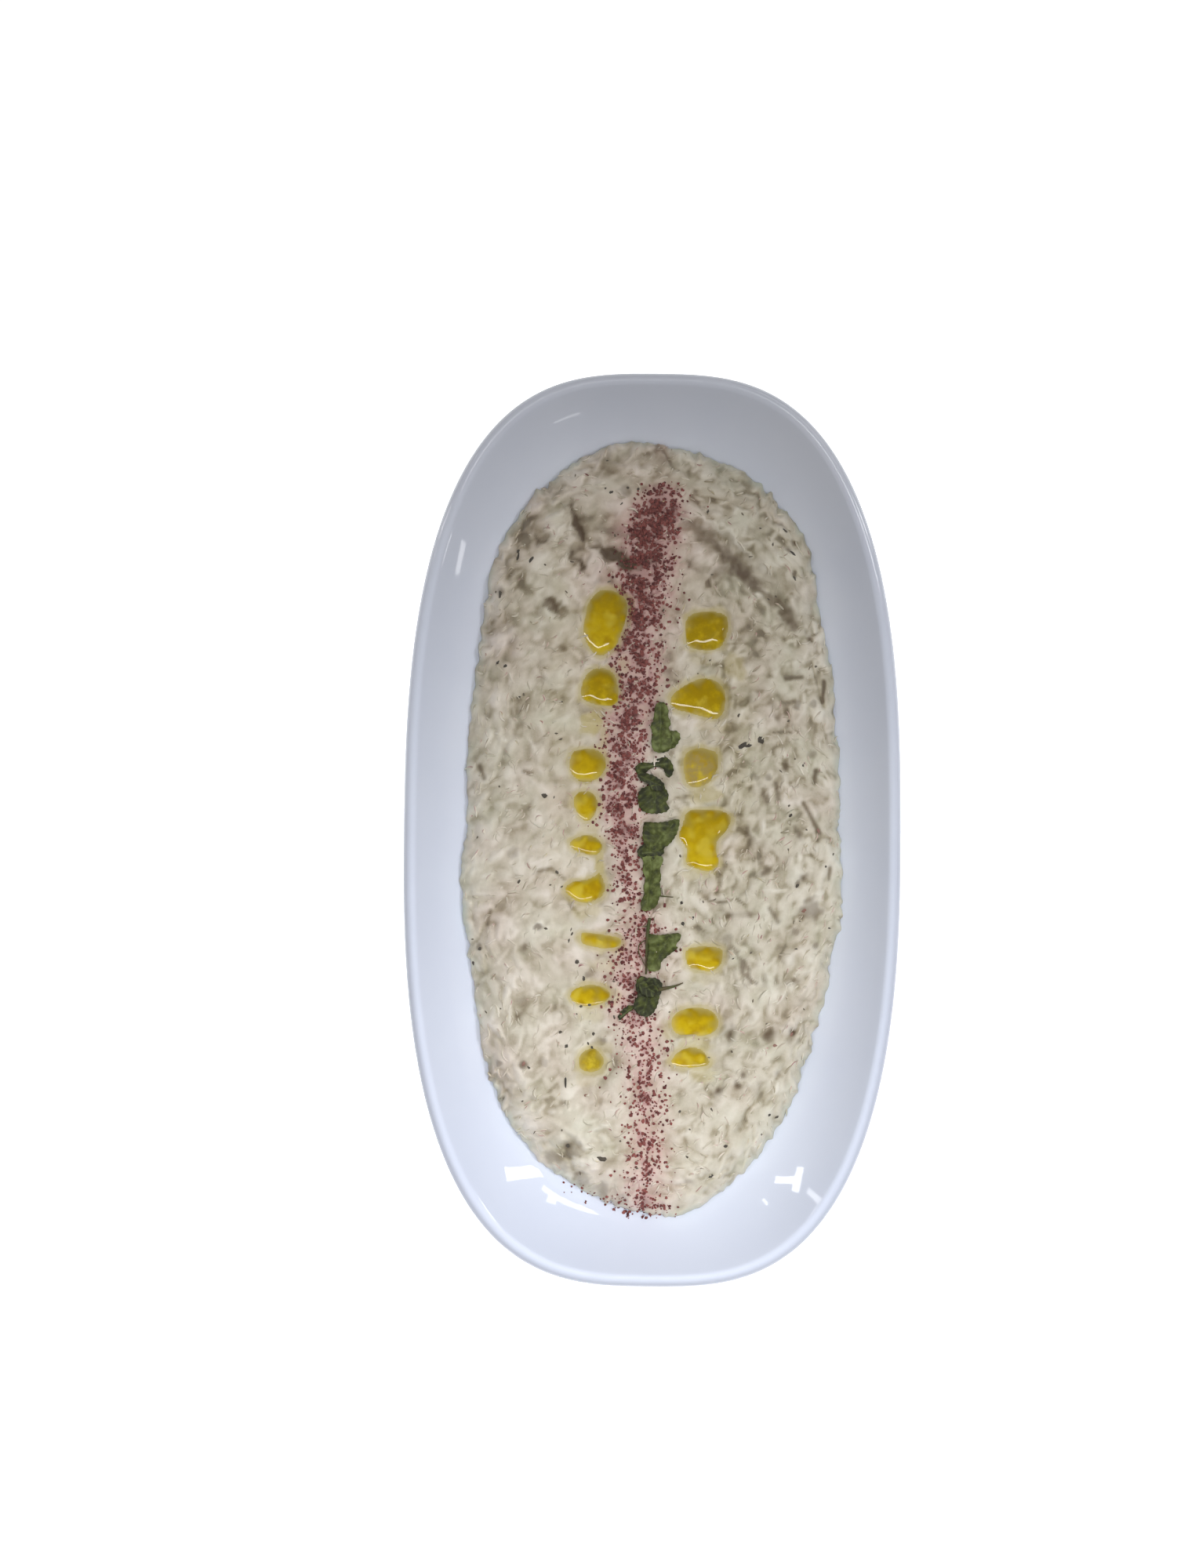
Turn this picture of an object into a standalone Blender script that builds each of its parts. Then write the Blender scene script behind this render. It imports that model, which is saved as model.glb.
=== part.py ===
"""Baba ganoush spread in an oval dish, with oil in two rows of hollows and a row of parsley.

Metres, +Z up. The origin is on the table under the middle of the dish, and the dish is long
in Y. Every piece stands GAP clear of the piece that it rests on.
"""
import math

import bmesh
import bpy

MM = 0.001
GAP = 0.3 * MM

# The dish: one profile carried round an oval
DISH_HALF_X = 68.0 * MM
DISH_HALF_Y = 125.0 * MM
DISH_POWER_X = 2.94             # the oval's corners are squarer than an ellipse's, whose power is 2
DISH_POWER_Y = 2.60
DISH_HEIGHT = 22.0 * MM
DISH_STEPS = 64
WALL_THICKNESS = 3.2 * MM
WALL_END_SLOPE = math.radians(20.0)     # slope at the wall's foot and at its lip
WALL_STEPS = 6
LIP_TURNS = (0.0, -45.0, -90.0, -125.0)         # of its round edge, from straight up outwards
FLOOR_HEIGHT = 6.0 * MM         # top of the flat floor of the well
WELL_INSET = 19.5 * MM          # from the rim's edge in to the foot of the wall
FOOT_INSET = 31.0 * MM          # from the rim's edge in to the foot ring
FOOT_WIDTH = 3.2 * MM
FOOT_TAPER = 0.6 * MM

# The dip: a low mound that fills the well and laps up the wall
DIP_HALF_X = 52.5 * MM
DIP_HALF_Y = 108.0 * MM
DIP_CROWN = 18.4 * MM           # height of its broad top above the table
DIP_EDGE = 0.6 * MM             # thickness of its outer edge
DIP_SHOULDER = 17.0 * MM        # width over which the edge rounds up to the top
DIP_SHOULDER_POWER = 0.72       # 0.5 is a quarter round, more is a softer slope
DIP_CELLS_X = 22
DIP_CELLS_Y = 42
DIP_EDGE_DENSITY = 1.6          # more than 1 puts more of the faces near the edge
DIP_OUTLINE = [                 # once round from the middle of the right side, in mm
    (53.3, 4.0), (51.8, 36.0), (48.5, 56.0), (46.6, 73.0), (38.4, 89.0), (23.5, 102.0),
    (5.0, 106.8), (-14.5, 105.8), (-31.0, 95.8), (-42.3, 80.5), (-48.0, 61.5),
    (-50.8, 35.0), (-52.4, 9.0), (-53.8, -14.0), (-50.7, -37.0), (-47.4, -60.0),
    (-40.5, -79.0), (-27.0, -96.5), (-8.0, -106.0), (6.0, -108.6), (19.5, -102.0),
    (34.5, -86.5), (43.5, -66.0), (50.0, -43.0), (54.2, -17.0),
]

# Spoon work on its top
TROUGH_X = (-16.3 * MM, 13.6 * MM)      # two troughs, in which the oil lies
TROUGH_WIDTH = 6.5 * MM
TROUGH_DEPTH = 1.5 * MM
TROUGH_HALF_LENGTH = 74.0 * MM
STROKE_CENTRE = (6.0 * MM, 52.0 * MM)   # a curved stroke of the spoon round the far right
STROKE_RADIUS = 31.5 * MM
STROKE_WIDTH = 3.0 * MM
STROKE_DEPTH = 2.0 * MM
STROKE_CREST = 1.2 * MM
STROKE_MIDDLE = math.radians(45.0)
STROKE_HALF_ANGLE = math.radians(48.0)
LUMP_HEIGHT = 0.35 * MM

# Oil in each hollow: x, y, width, length, turn in degrees, egg shape, three-corner shape and
# its turn in degrees, depth; lengths in mm
OIL_STEPS = 14
OIL_BELOW_TOP = 0.25 * MM
HOLLOW_FLARE = 0.5 * MM
HOLLOW_RISE = 4.0 * MM
OIL_POOLS = {
    "oil_pool_left_1": (-12.8, 54.8, 10.8, 17.4, 4, 0.10, 0.05, 90, 3.0),
    "oil_pool_left_2": (-14.5, 37.4, 9.6, 11.4, 0, -0.06, 0.08, 90, 2.6),
    "oil_pool_left_3": (-17.9, 16.2, 10.3, 9.0, 0, 0.00, 0.06, -20, 2.6),
    "oil_pool_left_4": (-17.9, 4.2, 7.9, 9.6, 0, 0.06, 0.04, 90, 2.0),
    "oil_pool_left_5": (-18.2, -6.0, 8.8, 5.6, -6, 0.00, 0.05, 0, 1.8),
    "oil_pool_left_6": (-17.8, -17.6, 11.8, 8.0, 4, 0.00, 0.14, 40, 2.6),
    "oil_pool_left_7": (-13.7, -31.7, 11.2, 5.0, -8, 0.00, 0.03, 0, 1.8),
    "oil_pool_left_8": (-16.5, -46.3, 10.6, 5.8, 0, 0.00, 0.05, 30, 2.0),
    "oil_pool_left_9": (-16.1, -64.1, 6.8, 7.0, 0, 0.00, 0.04, -30, 2.4),
    "oil_pool_right_1": (14.6, 53.5, 11.4, 10.4, 0, 0.03, 0.04, 90, 3.0),
    "oil_pool_right_2": (13.2, 34.6, 15.6, 11.4, 12, 0.02, 0.08, -60, 3.2),
    "oil_pool_right_3": (13.6, 16.0, 9.8, 11.0, 0, 0.02, 0.04, -90, 2.0),
    "oil_pool_right_4": (14.3, -3.4, 14.4, 17.8, 0, 0.07, 0.09, 30, 3.0),
    "oil_pool_right_5": (14.3, -36.4, 10.4, 7.6, 0, 0.04, 0.03, 90, 2.4),
    "oil_pool_right_6": (12.3, -54.2, 13.6, 8.2, 0, 0.05, 0.05, 90, 2.8),
    "oil_pool_right_7": (10.6, -64.4, 10.8, 7.0, 0, 0.00, 0.13, 90, 2.4),
}

# Parsley down the middle: x, y, width, length, turn in degrees, lobe depth, number of lobes,
# turn of the lobes in degrees, height of its curl; lengths in mm
LEAF_THICKNESS = 0.6 * MM
LEAF_LIFT = 0.5 * MM
LEAF_STEPS = 20
LEAF_INNER_RING = 0.55
PARSLEY_LEAVES = {
    "parsley_1": (3.4, 26.4, 8.0, 13.2, 0, 0.16, 3, 90, 1.2),
    "parsley_2": (0.6, 11.1, 9.4, 15.0, 8, 0.20, 5, 40, 1.4),
    "parsley_3": (1.4, -2.7, 11.0, 9.4, 0, 0.16, 3, -90, 1.1),
    "parsley_4": (0.2, -17.8, 4.8, 15.4, 2, 0.10, 4, 0, 0.8),
    "parsley_5": (3.0, -33.7, 9.0, 9.8, -8, 0.18, 3, -90, 1.2),
    "parsley_6": (-0.9, -46.6, 8.2, 11.2, -18, 0.14, 5, 10, 1.3),
}

# Colour, roughness
FINISHES = {
    "white_glaze": ((0.76, 0.79, 0.84), 0.12),
    "aubergine_dip": ((0.56, 0.51, 0.40), 0.45),
    "olive_oil": ((0.52, 0.38, 0.02), 0.06),
    "parsley_green": ((0.06, 0.13, 0.03), 0.50),
}


# Scene and objects

def clear_scene():
    for old in list(bpy.data.objects):
        bpy.data.objects.remove(old, do_unlink=True)


def new_collection(name):
    collection = bpy.data.collections.new(name)
    bpy.context.scene.collection.children.link(collection)
    return collection


def new_material(name):
    colour, roughness = FINISHES[name]
    material = bpy.data.materials.new(name)
    material.use_nodes = True
    shader = material.node_tree.nodes["Principled BSDF"]
    shader.inputs["Base Color"].default_value = (*colour, 1.0)
    shader.inputs["Roughness"].default_value = roughness
    shader.inputs["Metallic"].default_value = 0.0
    return material


def add_object(name, bm, collection, material=None, location=(0.0, 0.0, 0.0), crease=40.0):
    mesh = bpy.data.meshes.new(name)
    bm.to_mesh(mesh)
    bm.free()
    mesh.shade_smooth()
    mesh.set_sharp_from_angle(angle=math.radians(crease))
    if material:
        mesh.materials.append(material)
    piece = bpy.data.objects.new(name, mesh)
    piece.location = location
    collection.objects.link(piece)
    return piece


def smooth_step(value):
    value = min(max(value, 0.0), 1.0)
    return value * value * (3.0 - 2.0 * value)


def bump(offset, width):
    return math.exp(-(offset / width) ** 2)


# Dish

def signed_power(value, power):
    return math.copysign(abs(value) ** power, value)


def oval_point(turn, inset):
    """The point at a turn of the oval that lies inset in from the rim's edge."""
    x = (DISH_HALF_X - inset) * signed_power(math.cos(turn), 2.0 / DISH_POWER_X)
    y = (DISH_HALF_Y - inset) * signed_power(math.sin(turn), 2.0 / DISH_POWER_Y)
    return x, y


def oval_inset(x, y):
    """How far in from the rim's edge a point lies."""
    low = 0.0
    high = DISH_HALF_X - 1.0 * MM
    for _ in range(40):
        middle = (low + high) / 2.0
        reach = abs(x / (DISH_HALF_X - middle)) ** DISH_POWER_X
        reach += abs(y / (DISH_HALF_Y - middle)) ** DISH_POWER_Y
        if reach > 1.0:
            high = middle
        else:
            low = middle
    return low


def oval_turn(x, y, inset):
    across = signed_power(x / (DISH_HALF_X - inset), DISH_POWER_X / 2.0)
    along = signed_power(y / (DISH_HALF_Y - inset), DISH_POWER_Y / 2.0)
    return math.atan2(along, across)


LIP_RADIUS = WALL_THICKNESS / 2.0
WALL_TOP_INSET = LIP_RADIUS * (1.0 + math.sin(WALL_END_SLOPE))
WALL_TOP_HEIGHT = DISH_HEIGHT - LIP_RADIUS * (1.0 - math.cos(WALL_END_SLOPE))
WALL_RUN = WELL_INSET - WALL_TOP_INSET
WALL_RISE = WALL_TOP_HEIGHT - FLOOR_HEIGHT
WALL_STRAIGHT_SHARE = math.tan(WALL_END_SLOPE) * WALL_RUN / WALL_RISE


def wall_height(inset):
    """Height of the dish's inner face: an S that is steepest half way up."""
    climb = min(max((WELL_INSET - inset) / WALL_RUN, 0.0), 1.0)
    curve = (1.0 - WALL_STRAIGHT_SHARE) * smooth_step(climb) + WALL_STRAIGHT_SHARE * climb
    return FLOOR_HEIGHT + WALL_RISE * curve


def wall_slope(climb):
    curved = (1.0 - WALL_STRAIGHT_SHARE) * 6.0 * climb * (1.0 - climb)
    return math.atan((curved + WALL_STRAIGHT_SHARE) * WALL_RISE / WALL_RUN)


def dish_profile():
    """Inset and height from the floor's edge over the lip and down to inside the foot ring."""
    inner = []
    outer = []
    for step in range(WALL_STEPS + 1):
        climb = step / WALL_STEPS
        inset = WELL_INSET - climb * WALL_RUN
        height = wall_height(inset)
        slope = wall_slope(climb)
        inner.append((inset, height))
        outer.append((inset - WALL_THICKNESS * math.sin(slope),
                      height - WALL_THICKNESS * math.cos(slope)))
    lip = []
    for turn in map(math.radians, LIP_TURNS):
        lip.append((LIP_RADIUS + LIP_RADIUS * math.sin(turn),
                    DISH_HEIGHT - LIP_RADIUS + LIP_RADIUS * math.cos(turn)))
    under = outer[0][1]
    foot_end = FOOT_INSET + FOOT_WIDTH
    foot = [(FOOT_INSET - FOOT_TAPER, under), (FOOT_INSET, 0.0),
            (foot_end, 0.0), (foot_end + FOOT_TAPER, under)]
    return inner + lip + outer[::-1] + foot


def make_dish(collection, material):
    bm = bmesh.new()
    verts = [bm.verts.new((DISH_HALF_Y - inset, 0.0, height)) for inset, height in dish_profile()]
    edges = [bm.edges.new(pair) for pair in zip(verts, verts[1:])]
    bmesh.ops.spin(bm, geom=verts + edges, cent=(0.0, 0.0, 0.0), axis=(0.0, 0.0, 1.0),
                   angle=math.tau, steps=DISH_STEPS, use_merge=True)
    bmesh.ops.remove_doubles(bm, verts=bm.verts, dist=0.01 * MM)
    for vert in bm.verts:
        inset = DISH_HALF_Y - math.hypot(vert.co.x, vert.co.y)
        vert.co.x, vert.co.y = oval_point(math.atan2(vert.co.y, vert.co.x), inset)
    close_holes(bm)
    return add_object("dish", bm, collection, material)


def close_holes(bm):
    rims = [edge for edge in bm.edges if edge.is_boundary]
    bmesh.ops.holes_fill(bm, edges=rims, sides=0)
    bmesh.ops.recalc_face_normals(bm, faces=bm.faces)


# Dip

def outline_reach(turn):
    """Reach of the dip's outline at a turn, as a share of its half sizes' ellipse."""
    turns = [math.atan2(y / DIP_HALF_Y, x / DIP_HALF_X) % math.tau
             for x, y in ((x * MM, y * MM) for x, y in DIP_OUTLINE)]
    reaches = [math.hypot(x * MM / DIP_HALF_X, y * MM / DIP_HALF_Y) for x, y in DIP_OUTLINE]
    count = len(turns)
    turn %= math.tau
    after = next((index for index in range(count) if turns[index] > turn), 0)
    spots = [(after + shift) % count for shift in (-2, -1, 0, 1)]
    angles = [turns[spot] for spot in spots]
    for index in range(1, 4):
        while angles[index] < angles[index - 1]:
            angles[index] += math.tau
    if turn < angles[1]:
        turn += math.tau
    values = [reaches[spot] for spot in spots]
    span = angles[2] - angles[1]
    start = (values[2] - values[0]) / (angles[2] - angles[0]) * span
    end = (values[3] - values[1]) / (angles[3] - angles[1]) * span
    share = (turn - angles[1]) / span
    rise = smooth_step(share)
    return (values[1] + (values[2] - values[1]) * rise
            + start * share * (1.0 - share) ** 2 - end * share ** 2 * (1.0 - share))


def outline_point(turn, share=1.0):
    reach = outline_reach(turn) * share
    return DIP_HALF_X * reach * math.cos(turn), DIP_HALF_Y * reach * math.sin(turn)


def spoon_relief(x, y):
    """Height of the spoon work and lumps above the dip's broad top."""
    height = 0.0
    trough_ends = smooth_step((TROUGH_HALF_LENGTH - abs(y)) / (12.0 * MM))
    for middle in TROUGH_X:
        height -= TROUGH_DEPTH * trough_ends * bump(x - middle, TROUGH_WIDTH)
    across = x - STROKE_CENTRE[0]
    along = y - STROKE_CENTRE[1]
    radius = math.hypot(across, along)
    turn = abs(math.atan2(along, across) - STROKE_MIDDLE)
    fade = smooth_step((STROKE_HALF_ANGLE - turn) / math.radians(16.0))
    height -= STROKE_DEPTH * fade * bump(radius - STROKE_RADIUS, STROKE_WIDTH)
    height += STROKE_CREST * fade * bump(radius - STROKE_RADIUS - 1.9 * STROKE_WIDTH, STROKE_WIDTH)
    lumps = math.sin(x / (7.0 * MM) + 1.3) * math.cos(y / (11.0 * MM))
    lumps += math.sin((x + y) / (13.0 * MM) + 0.4) * math.cos((x - 0.6 * y) / (9.0 * MM) + 2.1)
    return height + LUMP_HEIGHT * lumps


def dip_height(x, y):
    """Height of the dip's top: a rounded shoulder up from its edge on the wall."""
    turn = math.atan2(y / DIP_HALF_Y, x / DIP_HALF_X)
    reach = outline_reach(turn)
    share = math.hypot(x / DIP_HALF_X, y / DIP_HALF_Y) / reach
    edge = wall_height(oval_inset(*outline_point(turn))) + GAP + DIP_EDGE
    width = reach / math.hypot(math.cos(turn) / DIP_HALF_X, math.sin(turn) / DIP_HALF_Y)
    inward = min(max(1.0 - share, 0.0) * width / DIP_SHOULDER, 1.0)
    rounding = (1.0 - (1.0 - inward) ** 2) ** DIP_SHOULDER_POWER
    return edge + (DIP_CROWN + spoon_relief(x, y) - edge) * rounding


def make_dip(collection, material, hollows):
    """A grid drawn out to the outline, then turned down and closed along the dish."""
    bm = bmesh.new()
    bmesh.ops.create_grid(bm, x_segments=DIP_CELLS_X, y_segments=DIP_CELLS_Y, size=1.0)
    for vert in bm.verts:
        across = vert.co.x * math.sqrt(1.0 - vert.co.y ** 2 / 2.0)
        along = vert.co.y * math.sqrt(1.0 - vert.co.x ** 2 / 2.0)
        share = 1.0 - (1.0 - min(math.hypot(across, along), 1.0)) ** DIP_EDGE_DENSITY
        x, y = outline_point(math.atan2(along, across), share)
        vert.co = (x, y, dip_height(x, y))
    rim = [edge for edge in bm.edges if edge.is_boundary]
    edge_ring = bmesh.ops.extrude_edge_only(bm, edges=rim)["geom"]
    for vert in (item for item in edge_ring if isinstance(item, bmesh.types.BMVert)):
        vert.co.z -= DIP_EDGE
    rim = [edge for edge in bm.edges if edge.is_boundary]
    floor_ring = bmesh.ops.extrude_edge_only(bm, edges=rim)["geom"]
    for vert in (item for item in floor_ring if isinstance(item, bmesh.types.BMVert)):
        inset = oval_inset(vert.co.x, vert.co.y)
        turn = oval_turn(vert.co.x, vert.co.y, inset)
        x, y = oval_point(turn, max(WELL_INSET, inset + 2.0 * MM))
        vert.co = (x, y, FLOOR_HEIGHT + GAP)
    close_holes(bm)
    dip = add_object("baba_ganoush", bm, collection, material)
    cut = dip.modifiers.new("Hollows", "BOOLEAN")
    cut.operation = "DIFFERENCE"
    cut.solver = "EXACT"
    cut.operand_type = "COLLECTION"
    cut.collection = hollows
    return dip


# Oil

def loft(rings):
    """A closed skin over a stack of level rings that have equal counts."""
    bm = bmesh.new()
    loops = [[bm.verts.new(point) for point in ring] for ring in rings]
    count = len(loops[0])
    for lower, upper in zip(loops, loops[1:]):
        for index in range(count):
            after = (index + 1) % count
            bm.faces.new((lower[index], lower[after], upper[after], upper[index]))
    bm.faces.new(loops[0][::-1])
    bm.faces.new(loops[-1])
    bmesh.ops.recalc_face_normals(bm, faces=bm.faces)
    return bm


def blob_ring(pool, share, grow, height):
    """A ring of the pool's egg or three-corner shape, about the pool's middle."""
    _, _, width, length, lean, egg, corners, corner_turn, _ = pool
    lean = math.radians(lean)
    ring = []
    for step in range(OIL_STEPS):
        turn = math.tau * step / OIL_STEPS
        reach = 1.0 + egg * math.sin(turn) + corners * math.cos(3.0 * (turn - math.radians(corner_turn)))
        across = share * reach * width / 2.0 * MM * math.cos(turn)
        along = share * reach * length / 2.0 * MM * math.sin(turn)
        size = math.hypot(across, along)
        stretch = (size + grow) / size
        ring.append((stretch * (across * math.cos(lean) - along * math.sin(lean)),
                     stretch * (across * math.sin(lean) + along * math.cos(lean)), height))
    return ring


def oil_level(pool):
    """The oil stands just under the lowest spot of the dip round it."""
    rim = blob_ring(pool, 1.0, GAP, 0.0)
    lowest = min(dip_height(pool[0] * MM + x, pool[1] * MM + y) for x, y, _ in rim)
    return lowest - OIL_BELOW_TOP


def make_oil(name, pool, parts, hollows, material):
    depth = pool[-1] * MM
    location = (pool[0] * MM, pool[1] * MM, oil_level(pool))
    oil = loft([blob_ring(pool, 0.45, 0.0, -depth),
                blob_ring(pool, 0.82, 0.0, -0.6 * depth),
                blob_ring(pool, 1.0, 0.0, 0.0)])
    add_object(name, oil, parts, material, location, crease=30.0)
    hollow = loft([blob_ring(pool, 0.45, GAP, -depth - GAP),
                   blob_ring(pool, 0.82, GAP, -0.6 * depth - GAP),
                   blob_ring(pool, 1.0, GAP, 0.0),
                   blob_ring(pool, 1.0, GAP + HOLLOW_FLARE, HOLLOW_RISE)])
    cutter = add_object(name + "_hollow", hollow, hollows, None, location)
    cutter.display_type = "WIRE"
    cutter.hide_render = True


# Parsley

def make_leaf(name, leaf, collection, material):
    """A lobed sheet draped over the dip, arched along its middle."""
    x, y, width, length, lean, depth, lobes, lobe_turn, curl = leaf
    x, y = x * MM, y * MM
    lean = math.radians(lean)
    base = dip_height(x, y)
    bm = bmesh.new()
    bmesh.ops.create_circle(bm, cap_ends=True, cap_tris=True, segments=LEAF_STEPS,
                            radius=LEAF_INNER_RING)
    rim = [edge for edge in bm.edges if edge.is_boundary]
    outer = bmesh.ops.extrude_edge_only(bm, edges=rim)["geom"]
    for vert in (item for item in outer if isinstance(item, bmesh.types.BMVert)):
        vert.co /= LEAF_INNER_RING
    for vert in bm.verts:
        share = math.hypot(vert.co.x, vert.co.y)
        turn = math.atan2(vert.co.y, vert.co.x)
        lobe = 1.0 + depth * math.cos(lobes * (turn - math.radians(lobe_turn)))
        across = vert.co.x * lobe * width / 2.0 * MM
        along = vert.co.y * lobe * length / 2.0 * MM
        vert.co.x = across * math.cos(lean) - along * math.sin(lean)
        vert.co.y = across * math.sin(lean) + along * math.cos(lean)
        arch = curl * MM * (1.0 - smooth_step(share))
        under = dip_height(x + vert.co.x, y + vert.co.y)
        vert.co.z = under - base + LEAF_LIFT + arch
    bmesh.ops.recalc_face_normals(bm, faces=bm.faces)
    if sum(face.normal.z for face in bm.faces) < 0.0:
        bmesh.ops.reverse_faces(bm, faces=bm.faces)
    sheet = add_object(name, bm, collection, material, (x, y, base))
    shell = sheet.modifiers.new("Leaf thickness", "SOLIDIFY")
    shell.thickness = LEAF_THICKNESS
    shell.offset = 1.0


def main():
    clear_scene()
    parts = new_collection("baba_ganoush_in_dish")
    hollows = new_collection("cutters")
    oil = new_material("olive_oil")
    green = new_material("parsley_green")
    make_dish(parts, new_material("white_glaze"))
    for name, pool in OIL_POOLS.items():
        make_oil(name, pool, parts, hollows, oil)
    make_dip(parts, new_material("aubergine_dip"), hollows)
    for name, leaf in PARSLEY_LEAVES.items():
        make_leaf(name, leaf, parts, green)


main()
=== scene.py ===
import math
import random

import bmesh
import bpy
import numpy as np
from mathutils import Matrix, Vector, noise
from mathutils.bvhtree import BVHTree


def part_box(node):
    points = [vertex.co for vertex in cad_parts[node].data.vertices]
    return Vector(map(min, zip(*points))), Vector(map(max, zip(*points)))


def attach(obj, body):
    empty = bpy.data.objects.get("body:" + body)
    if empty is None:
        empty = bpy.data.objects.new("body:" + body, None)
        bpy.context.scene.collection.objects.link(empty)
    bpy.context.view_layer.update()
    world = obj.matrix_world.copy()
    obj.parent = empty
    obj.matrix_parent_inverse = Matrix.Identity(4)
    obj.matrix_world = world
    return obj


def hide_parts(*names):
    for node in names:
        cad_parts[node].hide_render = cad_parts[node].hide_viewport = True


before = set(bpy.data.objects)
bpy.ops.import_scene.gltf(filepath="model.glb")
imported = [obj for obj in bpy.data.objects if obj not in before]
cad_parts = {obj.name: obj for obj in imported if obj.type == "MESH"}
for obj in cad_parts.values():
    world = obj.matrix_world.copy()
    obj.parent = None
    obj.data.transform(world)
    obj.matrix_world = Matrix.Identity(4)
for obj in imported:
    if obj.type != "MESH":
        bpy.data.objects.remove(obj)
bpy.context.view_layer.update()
mm = 0.001


# Small tools

def smoothStep(value):
    value = np.clip(value, 0.0, 1.0)
    return value * value * (3.0 - 2.0 * value)


def mixValue(low, high, share):
    return low + (high - low) * share


def noiseAt(x, y, size, seed):
    return np.array([noise.noise((a / size, b / size, seed)) for a, b in zip(x.tolist(), y.tolist())])


def boxMiddle(node):
    low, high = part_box(node)
    return (low + high) / 2.0 / mm


def smoothLoop(points, count):      # a closed curve through the points, evenly spaced
    ring = np.array(points, float)
    before, after, later = np.roll(ring, 1, 0), np.roll(ring, -1, 0), np.roll(ring, -2, 0)
    steps = 12
    dense = []
    for index in range(len(ring)):
        for step in range(steps):
            t = step / steps
            dense.append(0.5 * (2.0 * ring[index] + (after[index] - before[index]) * t
                                + (2.0 * before[index] - 5.0 * ring[index] + 4.0 * after[index] - later[index]) * t ** 2
                                + (3.0 * ring[index] - before[index] - 3.0 * after[index] + later[index]) * t ** 3))
    dense = np.array(dense)
    closed = np.vstack([dense, dense[:1]])
    run = np.concatenate([[0.0], np.cumsum(np.hypot(*np.diff(closed, axis=0).T))])
    spots = np.linspace(0.0, run[-1], count, endpoint=False)
    return np.column_stack([np.interp(spots, run, closed[:, 0]), np.interp(spots, run, closed[:, 1])])


def loopDistance(x, y, loop):       # negative inside
    start = loop
    end = np.roll(loop, -1, 0)
    run = end - start
    px = x[:, None] - start[None, :, 0]
    py = y[:, None] - start[None, :, 1]
    share = np.clip((px * run[:, 0] + py * run[:, 1]) / (run ** 2).sum(1), 0.0, 1.0)
    gap = np.hypot(px - share * run[:, 0], py - share * run[:, 1]).min(1)
    above = (start[:, 1] > y[:, None]) != (end[:, 1] > y[:, None])
    slope = run[:, 0] / np.where(run[:, 1] == 0.0, 1e-9, run[:, 1])
    crossings = above & (px < slope * py)
    inside = crossings.sum(1) % 2 == 1
    return np.where(inside, -gap, gap)


def addPiece(name, bm, material, nodes=(), sharp=180.0):
    mesh = bpy.data.meshes.new(name)
    bm.to_mesh(mesh)
    bm.free()
    mesh.shade_smooth()
    if sharp < 180.0:
        mesh.set_sharp_from_angle(angle=math.radians(sharp))
    mesh.materials.append(material)
    piece = bpy.data.objects.new(name, mesh)
    bpy.context.scene.collection.objects.link(piece)
    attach(piece, "root")
    if nodes:
        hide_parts(*nodes)
    return piece


def setAttribute(mesh, name, values):
    layer = mesh.attributes.new(name, "FLOAT", "POINT")
    layer.data.foreach_set("value", np.asarray(values, np.float32))


def getPoints(mesh):
    points = np.empty(len(mesh.vertices) * 3, np.float64)
    mesh.vertices.foreach_get("co", points)
    return points.reshape(-1, 3) / mm


def setPoints(mesh, points):
    mesh.vertices.foreach_set("co", (points * mm).astype(np.float32).ravel())
    mesh.update()


# Material tools

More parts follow.
